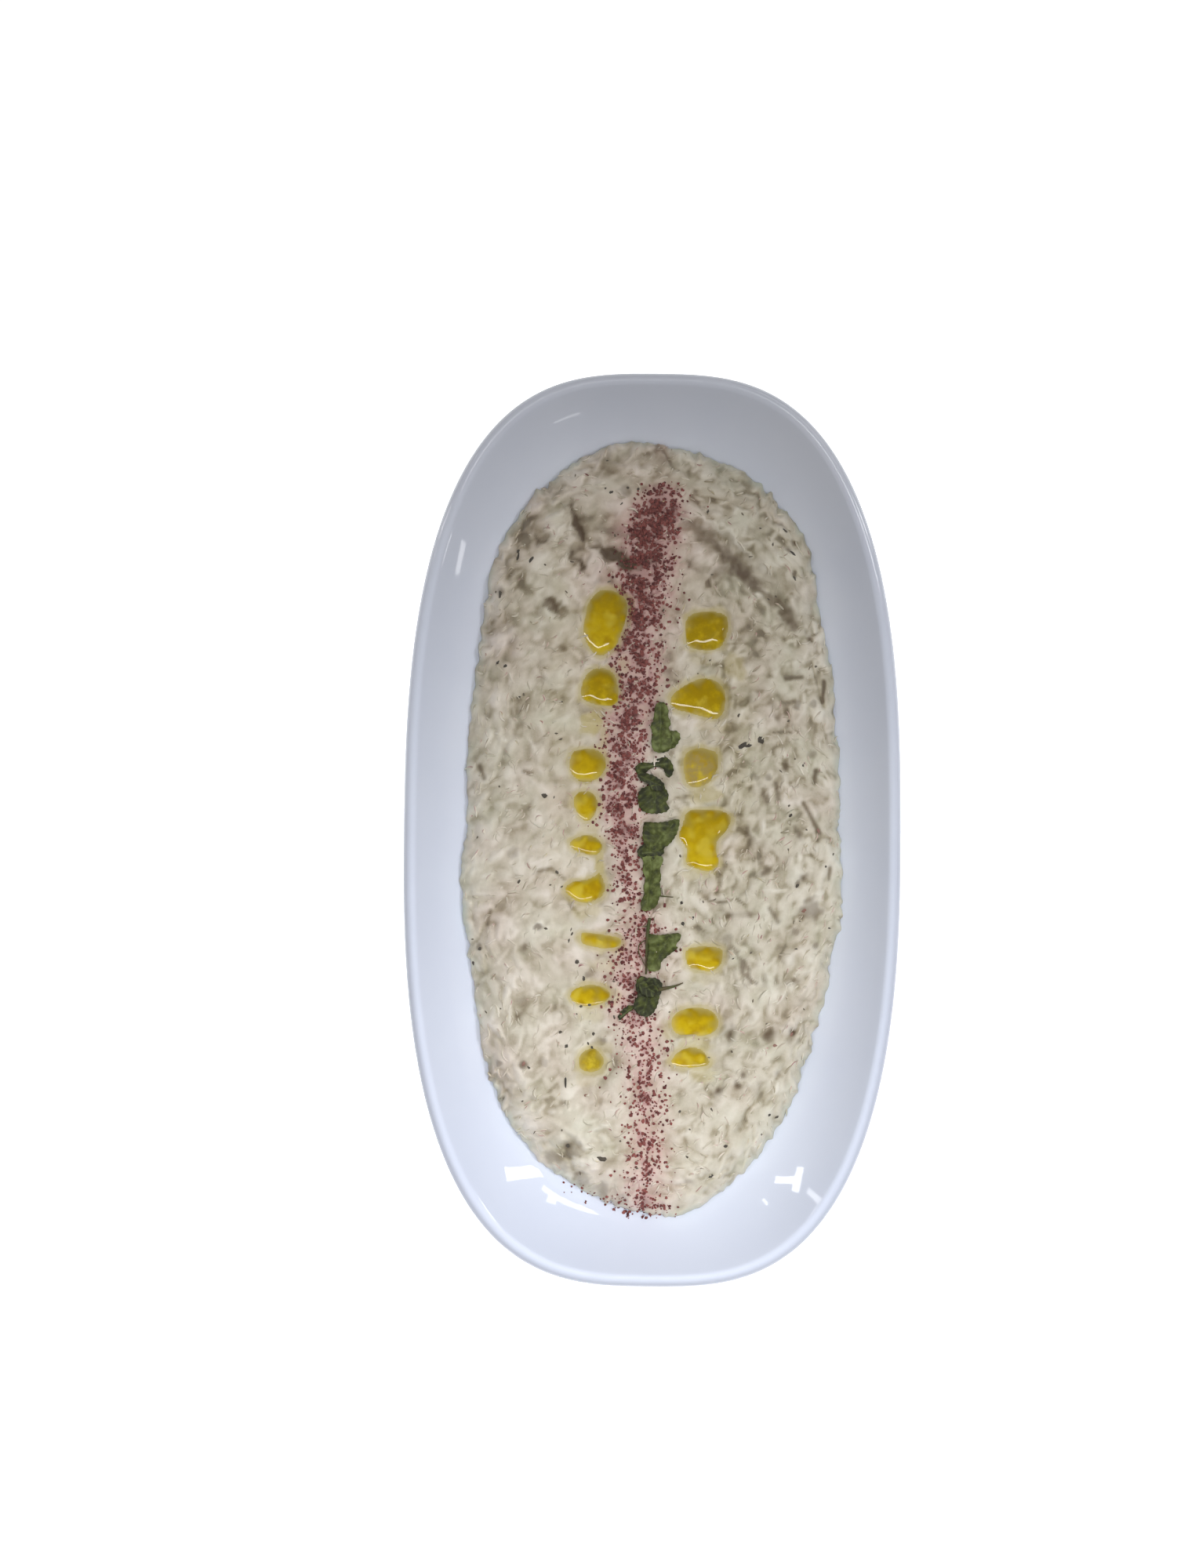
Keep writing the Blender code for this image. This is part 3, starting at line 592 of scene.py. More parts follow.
pulpShape = {
    "cell": 0.25, "halfX": 57.0, "halfY": 112.0, "seed": 4,
    "kinds": [          # count, half lengths, half widths, heights, share kept on the left side
        (1500, (2.0, 4.2), (1.1, 2.3), (0.45, 1.05), 0.85),
        (3000, (1.1, 2.4), (0.6, 1.15), (0.35, 0.85), 0.75),
        (1700, (1.8, 4.2), (0.30, 0.55), (0.60, 1.10), 0.45),
        (2200, (0.4, 0.9), (0.3, 0.6), (0.45, 1.00), 0.65),
    ],
    "soften": 0.27, "around": 2.0,
    "cream": 0.30, "creamSwing": 0.34, "creamLeft": 0.10, "creamSoft": 0.12,
    "swell": 0.6, "strength": 1.0,
}
furrows = [     # lines of x, y, half width, depth: long grooves, brown partly from real browning and partly as painted shade
    [(7.0, 83.4, 1.0, 0.5), (11.0, 82.4, 1.4, 0.7), (14.6, 80.0, 1.8, 0.85), (19.0, 76.2, 2.1, 0.95),
     (22.3, 72.2, 2.4, 1.15), (25.1, 68.8, 2.5, 1.3), (29.3, 66.0, 1.8, 0.85), (33.1, 63.0, 1.5, 0.8),
     (36.4, 59.2, 2.2, 1.0), (38.8, 55.6, 2.0, 0.8)],
    [(22.7, 72.0, 1.8, 0.8), (17.8, 69.9, 1.4, 0.65), (14.5, 69.6, 1.1, 0.35), (11.4, 71.4, 1.1, 0.5),
     (9.6, 72.2, 1.4, 0.9)],
    [(-23.3, 88.9, 1.1, 1.0), (-22.5, 86.7, 1.4, 1.2), (-21.4, 83.9, 1.9, 1.4), (-20.3, 80.6, 1.7, 1.7),
     (-19.6, 78.6, 1.1, 1.4)],
    [(-15.8, 77.2, 1.5, 0.9), (-13.6, 76.0, 2.0, 1.4), (-11.0, 74.9, 2.1, 1.7), (-8.6, 73.2, 2.2, 1.8),
     (-6.0, 72.4, 2.1, 1.5), (-3.4, 72.8, 2.0, 1.1), (-1.0, 73.8, 1.6, 0.7)],
    [(-22.4, 74.8, 1.2, 1.0), (-20.8, 72.0, 1.2, 1.3), (-19.8, 69.8, 0.9, 1.0)],
    [(-29.6, 61.1, 1.2, 1.0), (-27.7, 61.0, 1.6, 1.3), (-26.4, 59.4, 1.2, 1.1), (-24.9, 58.3, 1.0, 1.0)],
    [(-33.6, 80.0, 0.8, 0.8), (-31.6, 78.8, 1.1, 1.1), (-30.0, 79.8, 0.8, 0.7)],
    [(20.6, -31.8, 0.8, 0.6), (24.0, -37.0, 0.8, 0.8), (27.1, -43.6, 0.9, 0.9)],
    [(-14.0, 81.0, 0.7, 0.6), (-9.5, 79.8, 0.7, 0.6), (-5.0, 80.2, 0.6, 0.4)],
]
crestsAndHighlights = [      # lines of x, y, half width, height: raised rims beside the grooves, made paler as a painted highlight
    [(9.2, 86.2, 0.6, 0.6), (12.3, 85.5, 0.6, 0.9), (16.1, 83.7, 0.65, 1.2), (20.5, 81.0, 0.65, 1.2),
     (23.8, 77.8, 0.65, 0.9), (27.0, 74.2, 0.6, 0.6)],
    [(-24.8, 86.0, 0.8, 0.4), (-23.6, 82.0, 0.9, 0.7), (-22.4, 78.2, 0.9, 0.7)],
    [(-18.3, 77.6, 0.8, 0.6), (-16.2, 73.8, 0.9, 0.8), (-12.6, 71.8, 0.9, 0.7), (-9.0, 69.6, 0.8, 0.5)],
    [(-24.5, 68.4, 0.8, 0.5), (-22.0, 64.4, 0.9, 0.8), (-18.8, 60.4, 0.9, 0.6)],
]
gouges = [      # x, y, length, width, turn in degrees, depth: soft furrows, brown partly from real browning and partly as painted shade
    
    (-31.4, 59.0, 1.6, 1.0, 60, 0.6), (-25.2, 48.5, 2.0, 1.2, -40, 0.7),
    (-16.0, 67.5, 1.8, 1.0, 20, 0.7), (-30.3, 83.0, 1.6, 1.0, 40, 0.5),
    
    (36.0, 84.3, 1.7, 0.9, -40, 0.9), (39.2, 79.8, 1.5, 0.9, -50, 0.8), (43.2, 52.8, 2.2, 0.9, -55, 0.7),
    (38.8, 42.2, 2.2, 0.8, 5, 0.9), (26.5, -2.5, 4.2, 0.9, -35, 0.8), (31.0, -12.5, 3.6, 0.9, 30, 0.8),
    (24.5, -24.5, 5.2, 0.8, 4, 0.9), (30.5, 9.5, 3.2, 1.0, -60, 0.8), (34.0, 31.0, 4.2, 0.9, -70, 0.8),
    (28.0, 36.5, 2.8, 1.0, 40, 0.7), (40.0, -2.0, 3.0, 0.9, -60, 0.7), (36.5, 16.0, 3.4, 1.0, 75, 0.7),
    (23.5, 3.0, 2.6, 1.0, 60, 0.6), (42.0, -14.0, 2.6, 1.2, 20, 0.8), (43.5, -24.0, 3.0, 2.0, 10, 0.9),
    (39.3, -28.8, 1.8, 1.1, 60, 0.8), (30.9, -42.1, 1.8, 1.2, 80, 0.9), (34.4, -42.2, 1.3, 1.0, 70, 0.8),
    (38.0, -42.8, 2.8, 1.0, 8, 1.0), (26.3, -42.9, 1.4, 1.0, 70, 1.1), 
    (32.2, -57.2, 3.4, 2.0, 15, 0.8), (38.9, -56.2, 1.6, 1.4, 30, 1.3), (39.6, -58.9, 2.4, 0.9, -5, 1.2),
    (29.4, -71.8, 2.0, 1.4, 80, 0.8), (25.2, -68.0, 1.3, 1.1, 20, 1.0), (23.6, -70.8, 2.0, 1.0, -40, 1.0),
    (18.2, -72.6, 1.8, 1.1, 60, 1.0), (35.5, -66.0, 3.0, 0.9, 75, 0.7), (21.6, -57.5, 3.0, 1.3, 70, 0.9),
    (-31.4, -74.7, 2.4, 0.8, 4, 0.7), (-24.9, -76.8, 2.2, 0.8, 35, 0.7), (-22.6, -87.6, 2.4, 2.0, 20, 0.9),
    (-31.0, -28.3, 1.0, 0.8, 90, 0.8), (-37.0, 27.0, 2.6, 1.1, 80, 0.6), (-35.0, -34.0, 2.6, 1.0, 60, 0.6),
    (-30.5, 40.0, 2.8, 1.0, -30, 0.7), (-34.0, 4.0, 2.6, 0.9, 60, 0.5), (-38.8, 51.0, 2.2, 1.1, 50, 0.6),
    (-27.0, 12.0, 2.4, 0.9, -70, 0.5), (-41.0, 18.0, 2.6, 1.0, 80, 0.6), (-36.5, -53.0, 3.0, 1.1, 50, 0.6),
    (10.0, -97.0, 3.0, 1.1, -20, 0.6), (24.5, -82.0, 3.0, 1.0, 65, 0.7), (-15.0, -83.0, 2.4, 0.9, -30, 0.5),
]
ridges = [      # x, y, length, width, turn in degrees, height: pale folds
    (38.0, 45.0, 3.4, 0.8, 8, 0.8), (33.6, 42.0, 2.2, 0.8, 60, 0.6),
    (33.1, -48.3, 3.2, 3.6, 90, 0.7), (31.7, -63.6, 3.0, 2.6, 90, 0.7), (-41.0, -56.5, 2.2, 2.6, 90, 0.5),
    (37.6, -36.2, 2.0, 1.2, 60, 0.6), (-27.0, -48.0, 3.0, 1.2, 30, 0.4), (44.8, 4.0, 2.6, 0.8, -70, 0.6),
]
threads = [     # lines of x, y, half width, strength: dark skins and fibres
    [(33.2, 25.8, 0.35, 0.6), (38.2, 25.9, 0.3, 0.5)], [(36.6, 40.8, 0.7, 0.9), (41.0, 41.3, 0.6, 0.8)],
    [(47.8, 40.6, 0.6, 0.9), (47.2, 35.0, 0.6, 0.9)], [(45.0, 15.4, 0.7, 1.0), (44.6, 12.2, 0.7, 0.9)],
    [(33.9, 11.6, 0.6, 0.6), (34.6, 7.4, 0.7, 0.7)], [(30.2, 10.0, 0.6, 0.5), (31.6, 6.6, 0.6, 0.5)],
    [(41.5, 6.5, 0.55, 0.7), (43.8, 2.4, 0.6, 0.8), (46.1, -1.7, 0.7, 0.9)],
    [(26.0, -0.6, 0.9, 0.5), (26.6, -5.0, 0.9, 0.5)], [(32.3, -22.6, 0.6, 0.7), (34.6, -26.2, 0.7, 0.7)],
    [(15.1, -20.4, 0.3, 0.5), (19.5, -21.1, 0.35, 0.7), (23.1, -20.0, 0.35, 0.7), (25.3, -21.5, 0.4, 0.6)],
    [(49.2, -11.4, 0.7, 0.8), (49.0, -14.4, 0.6, 0.7)], [(-47.8, 16.0, 0.7, 0.7), (-46.4, 12.6, 0.7, 0.8)],
    [(-45.0, -27.6, 0.5, 0.6), (-44.2, -23.8, 0.5, 0.5)], [(-35.4, 14.4, 0.6, 0.6), (-33.2, 13.8, 0.5, 0.5)],
    [(-24.0, -15.0, 0.5, 0.5), (-27.6, -12.2, 0.6, 0.6), (-31.2, -13.0, 0.5, 0.5)],
    [(-23.2, -17.6, 0.5, 0.5), (-22.4, -22.0, 0.6, 0.6), (-20.0, -24.6, 0.5, 0.5)],
]
brownAndShadeSpots = [  # x, y, radius, strength: skins and seeds under the cream; the row along the near-left edge, from (-26.0, -92.0) to (-1.6, -104.4), is painted shade of the dip's steep near side as well as browning
    (39.6, 33.6, 1.5, 0.6), (44.3, 33.8, 1.2, 0.5), (28.5, 13.3, 1.0, 0.5), (32.0, 13.3, 1.0, 0.5),
    (40.0, -15.7, 1.0, 0.8), (43.9, -22.8, 3.2, 0.6), (21.8, -56.7, 2.6, 0.4),
    (-30.9, -28.4, 1.2, 0.8), (-47.3, -34.1, 1.0, 0.7), (-34.9, -48.8, 1.7, 0.35), (-34.6, -65.9, 1.3, 0.8),
    (-29.2, -65.0, 1.5, 0.4), (-41.5, -65.8, 1.0, 0.6), (-13.1, -59.2, 1.2, 0.7), (39.3, -28.8, 1.2, 0.6),
    (45.4, -32.6, 1.1, 0.6), (20.8, -31.3, 1.6, 0.4), (-42.2, 64.3, 1.2, 0.8), (-17.4, -41.3, 1.0, 0.6),
    (44.0, 20.0, 1.4, 0.5), (-45.5, 30.0, 1.3, 0.5), (-38.0, -8.0, 1.6, 0.35), (-26.0, -92.0, 2.6, 0.45),
    (-20.5, -88.6, 2.6, 0.45), (-24.0, -94.8, 2.2, 0.4), (-18.6, -97.4, 2.4, 0.4), (-12.8, -100.2, 2.2, 0.4),
    (-7.0, -102.6, 2.2, 0.35), (-1.6, -104.4, 2.0, 0.3), (37.4, 76.8, 1.0, 0.8), (38.9, 69.8, 1.0, 0.8), (-8.0, 92.6, 1.8, 0.5),
]
shades = [      # x, y, length, width, turn in degrees, strength: broad darker and paler places
    (24.5, 37.5, 6.0, 5.5, 0, 0.24), (25.0, 14.0, 4.5, 6.0, 0, 0.18), (26.0, -5.0, 4.5, 6.0, 0, 0.19),
    (-26.0, 61.0, 5.5, 6.0, 0, 0.16), (-34.0, -25.0, 4.5, 4.5, 0, 0.10), (20.0, 69.5, 6.0, 6.0, 0, 0.09),
    (36.0, 26.0, 4.5, 4.5, 0, 0.10), (-25.0, -15.0, 4.5, 4.5, 0, 0.08), (-15.0, -55.0, 4.5, 4.5, 0, 0.08),
]
paleShades = [
    (-36.0, 0.0, 6.0, 9.0, 0, 0.08), (-36.0, -38.0, 7.0, 8.0, 0, 0.08), (46.0, 14.0, 4.5, 17.0, 0, 0.09),
    (-46.0, -25.0, 4.0, 6.0, 0, 0.08), (-35.0, 54.0, 5.0, 5.0, 0, 0.09), (-46.0, 30.0, 4.5, 12.0, 0, 0.05),
    (46.0, -55.0, 4.5, 9.0, 0, 0.05), (44.0, 54.0, 5.0, 6.0, 0, 0.06),
]
sumacBand = {
    "path": [(2.3, 96.0), (2.2, 92.9), (-1.6, 78.6), (-3.8, 63.3), (-4.7, 45.8), (-4.9, 32.8), (-8.0, 19.8),
             (-7.9, 2.5), (-6.7, -10.5), (-5.6, -21.2), (-2.8, -27.6), (-5.5, -36.2), (-6.5, -50.0),
             (-2.2, -58.0), (-2.0, -64.0), (-0.8, -78.8), (-0.7, -91.6), (-2.0, -106.4)],
    "width": [(97.0, 3.6), (92.0, 5.0), (84.0, 6.6), (70.0, 7.6), (45.0, 6.8), (20.0, 6.0), (0.0, 5.2),
              (-20.0, 5.0), (-30.0, 6.4), (-50.0, 6.4), (-60.0, 5.6), (-90.0, 5.4), (-106.0, 7.0)],
    "density": [(95.8, 0.0), (92.5, 1.2), (88.0, 2.2), (82.0, 1.8), (76.0, 1.8), (70.0, 1.45), (60.0, 1.15),
                (45.0, 1.05), (35.0, 0.95), (25.0, 0.85), (15.0, 0.72), (3.0, 0.95), (-4.0, 0.5),
                (-12.0, 0.4), (-22.0, 0.36),
                (-30.0, 0.45), (-42.0, 0.5), (-50.0, 0.45), (-60.0, 0.5), (-72.0, 0.42), (-85.0, 0.42),
                (-96.0, 0.4), (-105.0, 0.35), (-107.0, 0.0)],
}


def tableAt(table, y):
    rows = sorted(table)
    return np.interp(y, [row[0] for row in rows], [row[1] for row in rows])


def bandMiddle(y):
    rows = sorted((b, a) for a, b in sumacBand["path"])
    return np.interp(y, [row[0] for row in rows], [row[1] for row in rows])


def spotField(x, y, spots):
    total = np.zeros_like(x)
    for spotX, spotY, length, width, turn, strength in spots:
        bend = math.radians(turn)
        along = (x - spotX) * math.cos(bend) + (y - spotY) * math.sin(bend)
        across = -(x - spotX) * math.sin(bend) + (y - spotY) * math.cos(bend)
        near = np.exp(-(along / length) ** 2 - (across / width) ** 2)
        total = np.maximum(total, strength * near)
    return total


def lineField(x, y, lines):
    total = np.zeros_like(x)
    for line in lines:
        for (startX, startY, startWidth, startDepth), (endX, endY, endWidth, endDepth) in zip(line, line[1:]):
            runX, runY = endX - startX, endY - startY
            share = np.clip(((x - startX) * runX + (y - startY) * runY) / (runX ** 2 + runY ** 2), 0.0, 1.0)
            gap = np.hypot(x - startX - share * runX, y - startY - share * runY)
            near = np.exp(-(gap / mixValue(startWidth, endWidth, share)) ** 2)
            total = np.maximum(total, mixValue(startDepth, endDepth, share) * near)
    return total


def stainField(x, y):       # how much sumac has coloured each spot
    offset = np.abs(x - bandMiddle(y)) / tableAt(sumacBand["width"], y)
    patchy = np.clip(0.72 + 1.1 * noiseAt(x, y, 3.4, 77.7) + 1.1 * noiseAt(x, y, 1.1, 79.9), 0.3, 1.8)
    density = tableAt(sumacBand["density"], y)
    return np.exp(-offset ** 2 * 1.3) * (density * patchy + 0.12) + 0.13 * density * np.exp(-offset ** 2 * 0.3)


def flowAt(x, y):       # which way the pulp lies; mostly along the dish on the right
    right = min(max(x / 25.0, 0.0), 1.0) * 0.6
    sway = noise.noise((x / 26.0, y / 26.0, 2.9))
    return mixValue(2.6 * sway + 0.9, 1.0 * sway + 1.55, right)


def laySheets():        # the union of the chunks and, beside it, the shade of whichever lies on top
    look = pulpShape
    rng = np.random.default_rng(look["seed"])
    across = np.arange(-look["halfX"], look["halfX"], look["cell"])
    along = np.arange(-look["halfY"], look["halfY"], look["cell"])
    lift = np.full((len(along), len(across)), -0.35)
    shade = np.zeros_like(lift)
    for count, lengths, widths, heights, leftShare in look["kinds"]:
        for _ in range(count):
            x, y = rng.uniform(-55.0, 55.0), rng.uniform(-110.0, 110.0)
            length, width, high = rng.uniform(*lengths), rng.uniform(*widths), rng.uniform(*heights)
            base, tone, spin = rng.normal(0.0, 0.16), rng.normal(0.0, 1.0), rng.normal(0.0, 0.6)
            if x < 4.0 and rng.random() > leftShare:
                continue
            turn = flowAt(x, y) + spin
            i, j = int((x + look["halfX"]) / look["cell"]), int((y + look["halfY"]) / look["cell"])
            reach = int(length / look["cell"]) + 2
            rows, columns = slice(max(j - reach, 0), j + reach), slice(max(i - reach, 0), i + reach)
            dx, dy = np.meshgrid(across[columns] - x, along[rows] - y)
            u = (dx * math.cos(turn) + dy * math.sin(turn)) / length
            v = (-dx * math.sin(turn) + dy * math.cos(turn) + 0.18 * width * np.sin(3.0 * u + tone)) / width
            dome = base + high * (1.0 - np.minimum(u * u + v * v, 1.0) ** 1.4)
            inside = (u * u + v * v < 1.0) & (dome > lift[rows, columns])
            lift[rows, columns] = np.where(inside, dome, lift[rows, columns])
            shade[rows, columns] = np.where(inside, tone, shade[rows, columns])
    return lift, shade


def blurSheet(sheet, size):
    rows, columns = (np.fft.fftfreq(length, pulpShape["cell"]) for length in sheet.shape)
    softener = np.exp(-2.0 * (math.pi * size) ** 2 * (rows[:, None] ** 2 + columns[None, :] ** 2))
    return np.fft.ifft2(np.fft.fft2(sheet) * softener).real


def sampleSheet(sheet, x, y):
    u = np.clip((x + pulpShape["halfX"]) / pulpShape["cell"], 0.0, sheet.shape[1] - 1.001)
    v = np.clip((y + pulpShape["halfY"]) / pulpShape["cell"], 0.0, sheet.shape[0] - 1.001)
    i, j = u.astype(int), v.astype(int)
    u, v = u - i, v - j
    return ((sheet[j, i] * (1.0 - u) + sheet[j, i + 1] * u) * (1.0 - v)
            + (sheet[j + 1, i] * (1.0 - u) + sheet[j + 1, i + 1] * u) * v)


# The paleness holds painted shade and painted highlight as well as the pulp's own tone.
def pulpField(x, y):    # relief in millimetres, paleness and how deep each spot lies among its neighbours
    look = pulpShape
    lift, shade = laySheets()
    fine = sampleSheet(blurSheet(lift, look["soften"]), x, y)
    around = sampleSheet(blurSheet(lift, look["around"]), x, y)
    tone = sampleSheet(blurSheet(shade, 0.25), x, y)
    right = smoothStep(0.5 + x / 24.0)
    slow = noiseAt(x, y, 14.0, 23.4)
    upper = smoothStep((y - 20.0) / 50.0) * (1.0 - right)
    cream = look["cream"] + look["creamSwing"] * 1.6 * slow + look["creamLeft"] * (1.0 - right)
    warpX, warpY = x + 1.6 * noiseAt(x, y, 4.0, 33.3), y + 1.6 * noiseAt(x, y, 4.0, 35.9)
    fold = noiseAt(warpX, warpY, 6.5, 61.7) + 0.4 * noiseAt(warpX, warpY, 2.6, 63.9)
    seam = np.exp(-(noiseAt(warpX, warpY, 9.0, 65.1) / 0.055) ** 2)
    seam *= smoothStep(0.25 + 1.9 * noiseAt(x, y, 6.0, 68.3) + 0.25 * right)
    relief = cream + look["creamSoft"] * np.logaddexp(0.0, (fine - cream) / look["creamSoft"])
    relief = look["strength"] * (1.0 + 0.5 * upper) * (relief - 0.6) + look["swell"] * fold - 0.45 * seam
    gap = np.clip((around - fine) / 0.55, -1.0, 1.4)
    coat = smoothStep((cream - fine) / 0.6)
    calmer = 1.0 - 0.25 * smoothStep((-15.0 - y) / 30.0) * right
    # painted shade where a spot lies below its neighbours and in the seams, painted highlight where it stands above
    # them; the folds are paler where they rise, and the chunk tone is random colour
    palenessAndShade = 0.10 * tone * (1.0 - 0.6 * coat) - (0.20 + 0.13 * right) * np.maximum(gap, 0.0)
    palenessAndShade += 0.18 * np.maximum(-gap, 0.0) + (0.38 + 0.38 * upper + 0.02 * right) * fold - (0.17 + 0.14 * right) * seam
    palenessAndShade = 0.58 + palenessAndShade * calmer
    return relief, palenessAndShade, gap


def makeDip(material):
    shape = dipShape
    bm = bmesh.new()
    bmesh.ops.create_grid(bm, x_segments=shape["cellsX"], y_segments=shape["cellsY"], size=1.0)
    rim = [edge for edge in bm.edges if edge.is_boundary]
    topCount = len(bm.verts)
    ring = bmesh.ops.extrude_edge_only(bm, edges=rim)["geom"]
    for vert in (item for item in ring if isinstance(item, bmesh.types.BMVert)):
        vert.co.z = -1.0
    rim = [edge for edge in bm.edges if edge.is_boundary]
    ring = bmesh.ops.extrude_edge_only(bm, edges=rim)["geom"]
    for vert in (item for item in ring if isinstance(item, bmesh.types.BMVert)):
        vert.co.z = -2.0
    bmesh.ops.holes_fill(bm, edges=[edge for edge in bm.edges if edge.is_boundary], sides=0)
    bmesh.ops.scale(bm, verts=bm.verts, vec=(mm, mm, mm))
    dip = addPiece("baba_ganoush_dip", bm, material, ["baba_ganoush"])
    points = getPoints(dip.data)
    across = points[:, 0] * np.sqrt(1.0 - points[:, 1] ** 2 / 2.0)
    along = points[:, 1] * np.sqrt(1.0 - points[:, 0] ** 2 / 2.0)
    tier = points[:, 2]
    share = 1.0 - (1.0 - np.minimum(np.hypot(across, along), 1.0)) ** shape["edgeDensity"]
    turn = np.arctan2(along, across)
    wobble = outlineWobble(turn) * smoothStep((share - 0.88) / 0.12)
    reach = outlineReach(turn) * share
    width = 1.0 / np.hypot(np.cos(turn) / shape["halfX"], np.sin(turn) / shape["halfY"])
    x, y = shape["halfX"] * reach * np.cos(turn), shape["halfY"] * reach * np.sin(turn)
    base, inward = dipBase(x, y)
    height, toneAndShade, gap = pulpField(x, y)
    ragged = 0.75 + 0.9 * noiseAt(x, y, 1.8, 44.4) + 0.35 * gap
    bentX = x + 1.7 * noiseAt(x, y, 2.8, 94.1) + 0.8 * noiseAt(x, y, 1.2, 95.3)
    bentY = y + 1.7 * noiseAt(x, y, 2.8, 96.7) + 0.8 * noiseAt(x, y, 1.2, 97.9)
    grooves = lineField(bentX, bentY, furrows) * np.clip(0.80 + 0.25 * ragged, 0.6, 1.2)
    creases = np.maximum(spotField(x, y, gouges) * np.clip(ragged, 0.1, 1.6), grooves)
    dark, crest = lineField(x, y, threads), lineField(bentX, bentY, crestsAndHighlights)
    pale = np.maximum(spotField(x, y, ridges), crest)
    calm = 0.75 * np.clip(1.3 * np.maximum(grooves, 0.7 * crest), 0.0, 1.0)
    height, toneAndShade = height * (1.0 - calm), mixValue(toneAndShade, 0.46, calm)
    # painted highlight on the crests and painted shade in the creases; the dark threads are real skins
    toneAndShade += 0.32 * pale + 0.38 * crest - 0.18 * np.minimum(creases, 1.6) - 0.55 * dark
    toneAndShade += spotField(x, y, paleShades) - spotField(x, y, shades)
    oily = np.zeros_like(x)
    height = height * (0.6 + 0.4 * smoothStep(inward / 2.0)) + 0.8 * pale - 0.4 * crest - 0.8 * creases - 0.25 * dark
    surface = base + height
    for name, (loop, level) in pools.items():
        reachOut = np.abs(loop - loop.mean(0)).max() * 1.45 + 6.0
        near = np.hypot(*(np.column_stack([x, y]) - loop.mean(0)).T) < reachOut
        out = loopDistance(x[near], y[near], loop)
        sway = 1.0 + 0.3 * noiseAt(x[near], y[near], 3.6, 40.7)
        edge = level + oilShape["low"].get(name, oilShape["rise"]) * sway + 0.04
        bank = smoothStep(out / oilShape["bank"])
        softened = base[near] + height[near] * smoothStep((out - 0.2) / 1.8)
        outside = mixValue(edge, softened, bank)
        inside = edge - oilShape["hollow"] * smoothStep(-out / 2.4) - 0.25 * np.minimum(-out, 1.0)
        take = out < oilShape["bank"] + 1.4
        fresh = np.where(out > 0.0, outside, inside)
        surface[near] = np.where(take, fresh, surface[near])
        seep = 2.1 + 1.3 * noiseAt(x[near], y[near], 2.0, 55.5)
        halo = 0.95 * (1.0 - smoothStep(out / np.maximum(seep, 0.5)))
        oily[near] = np.maximum(oily[near], halo)
        toneAndShade[near] += 0.12 * (1.0 - smoothStep(out / 2.0))
    for filmX, filmY, filmWidth, filmLength, strength in oilFilms:
        spread = np.hypot((x - filmX) / filmWidth, (y - filmY) / filmLength) + 0.35 * noiseAt(x, y, 2.2, 71.3)
        oily = np.maximum(oily, strength * (1.0 - smoothStep((spread - 0.55) / 0.6)))
    stained = stainField(x, y)
    wet = np.exp(-(inward / 1.7) ** 2) * (0.6 + 1.2 * noiseAt(x, y, 4.5, 83.1))
    leftward = smoothStep(0.5 - x / 30.0)
    blush = 0.06 + 0.22 * leftward + 0.45 * leftward * smoothStep((y - 30.0) / 40.0)
    blush = np.clip(blush + 1.0 * noiseAt(x, y, 12.0, 87.7), 0.0, 1.0)
    # brown from real skins and seeds, with painted shade in the creases, the grooves and along the near edge
    brownedAndShaded = np.clip(np.maximum(0.9 * creases ** 1.3, 0.9 * dark), 0.0, 2.0)
    for spotX, spotY, radius, strength in brownAndShadeSpots:
        away = np.hypot(x - spotX, y - spotY) / radius + 0.5 * noiseAt(x, y, 1.4, 91.3)
        brownedAndShaded = np.maximum(brownedAndShaded, strength * (1.0 - smoothStep((away - 0.5) / 0.8)))
    slide = 1.0 + wobble / np.maximum(width, 1.0)
    x, y = x * slide, y * slide
    inset = ovalInset(x, y)
    lapping = innerHeight(inset)
    surface = np.where(tier > -0.5, np.maximum(surface, lapping - 0.1), surface)
    surface = np.where(tier < -0.5, lapping - 0.45, surface)
    bottom = tier < -1.5
    deepShare = np.where(bottom, 0.80, 1.0)
    x, y = x * deepShare, y * deepShare
    surface = np.where(bottom, dishShape["floor"] + 0.3, surface)
    setPoints(dip.data, np.column_stack([x, y, surface]))
    fresh = bmesh.new()
    fresh.from_mesh(dip.data)
    bmesh.ops.recalc_face_normals(fresh, faces=fresh.faces)
    fresh.to_mesh(dip.data)
    fresh.free()
    # the pulp tone carries painted shade in hollows, creases and grooves and painted highlight on tops and crests,
    # besides the pulp's own colour
    for key, values in (("toneAndShade", toneAndShade), ("oily", oily), ("stained", stained), ("wet", wet),
                        ("brownedAndShaded", brownedAndShaded), ("blush", blush)):
        setAttribute(dip.data, key, values)
    return dip


dipLook = {
    "tones": [(0.0, (0.205, 0.168, 0.108)), (0.25, (0.39, 0.337, 0.233)), (0.5, (0.56, 0.503, 0.385)),
              (0.72, (0.66, 0.605, 0.485)), (1.0, (0.765, 0.715, 0.595))],
    "brownAndShade": (0.140, 0.099, 0.061), "deepBrownAndShade": (0.084, 0.050, 0.029), "oil": (0.50, 0.41, 0.16),
    "sumacThin": (0.60, 0.375, 0.335), "sumacThick": (0.17, 0.068, 0.058),
    "blush": (1.0, 0.945, 0.975), "green": (0.545, 0.54, 0.39),
    "wet": (0.55, 0.565, 0.455), "roughness": 0.42, "oilRoughness": 0.10,
    "grain": 0.75, "grainDepth": 0.12,
}


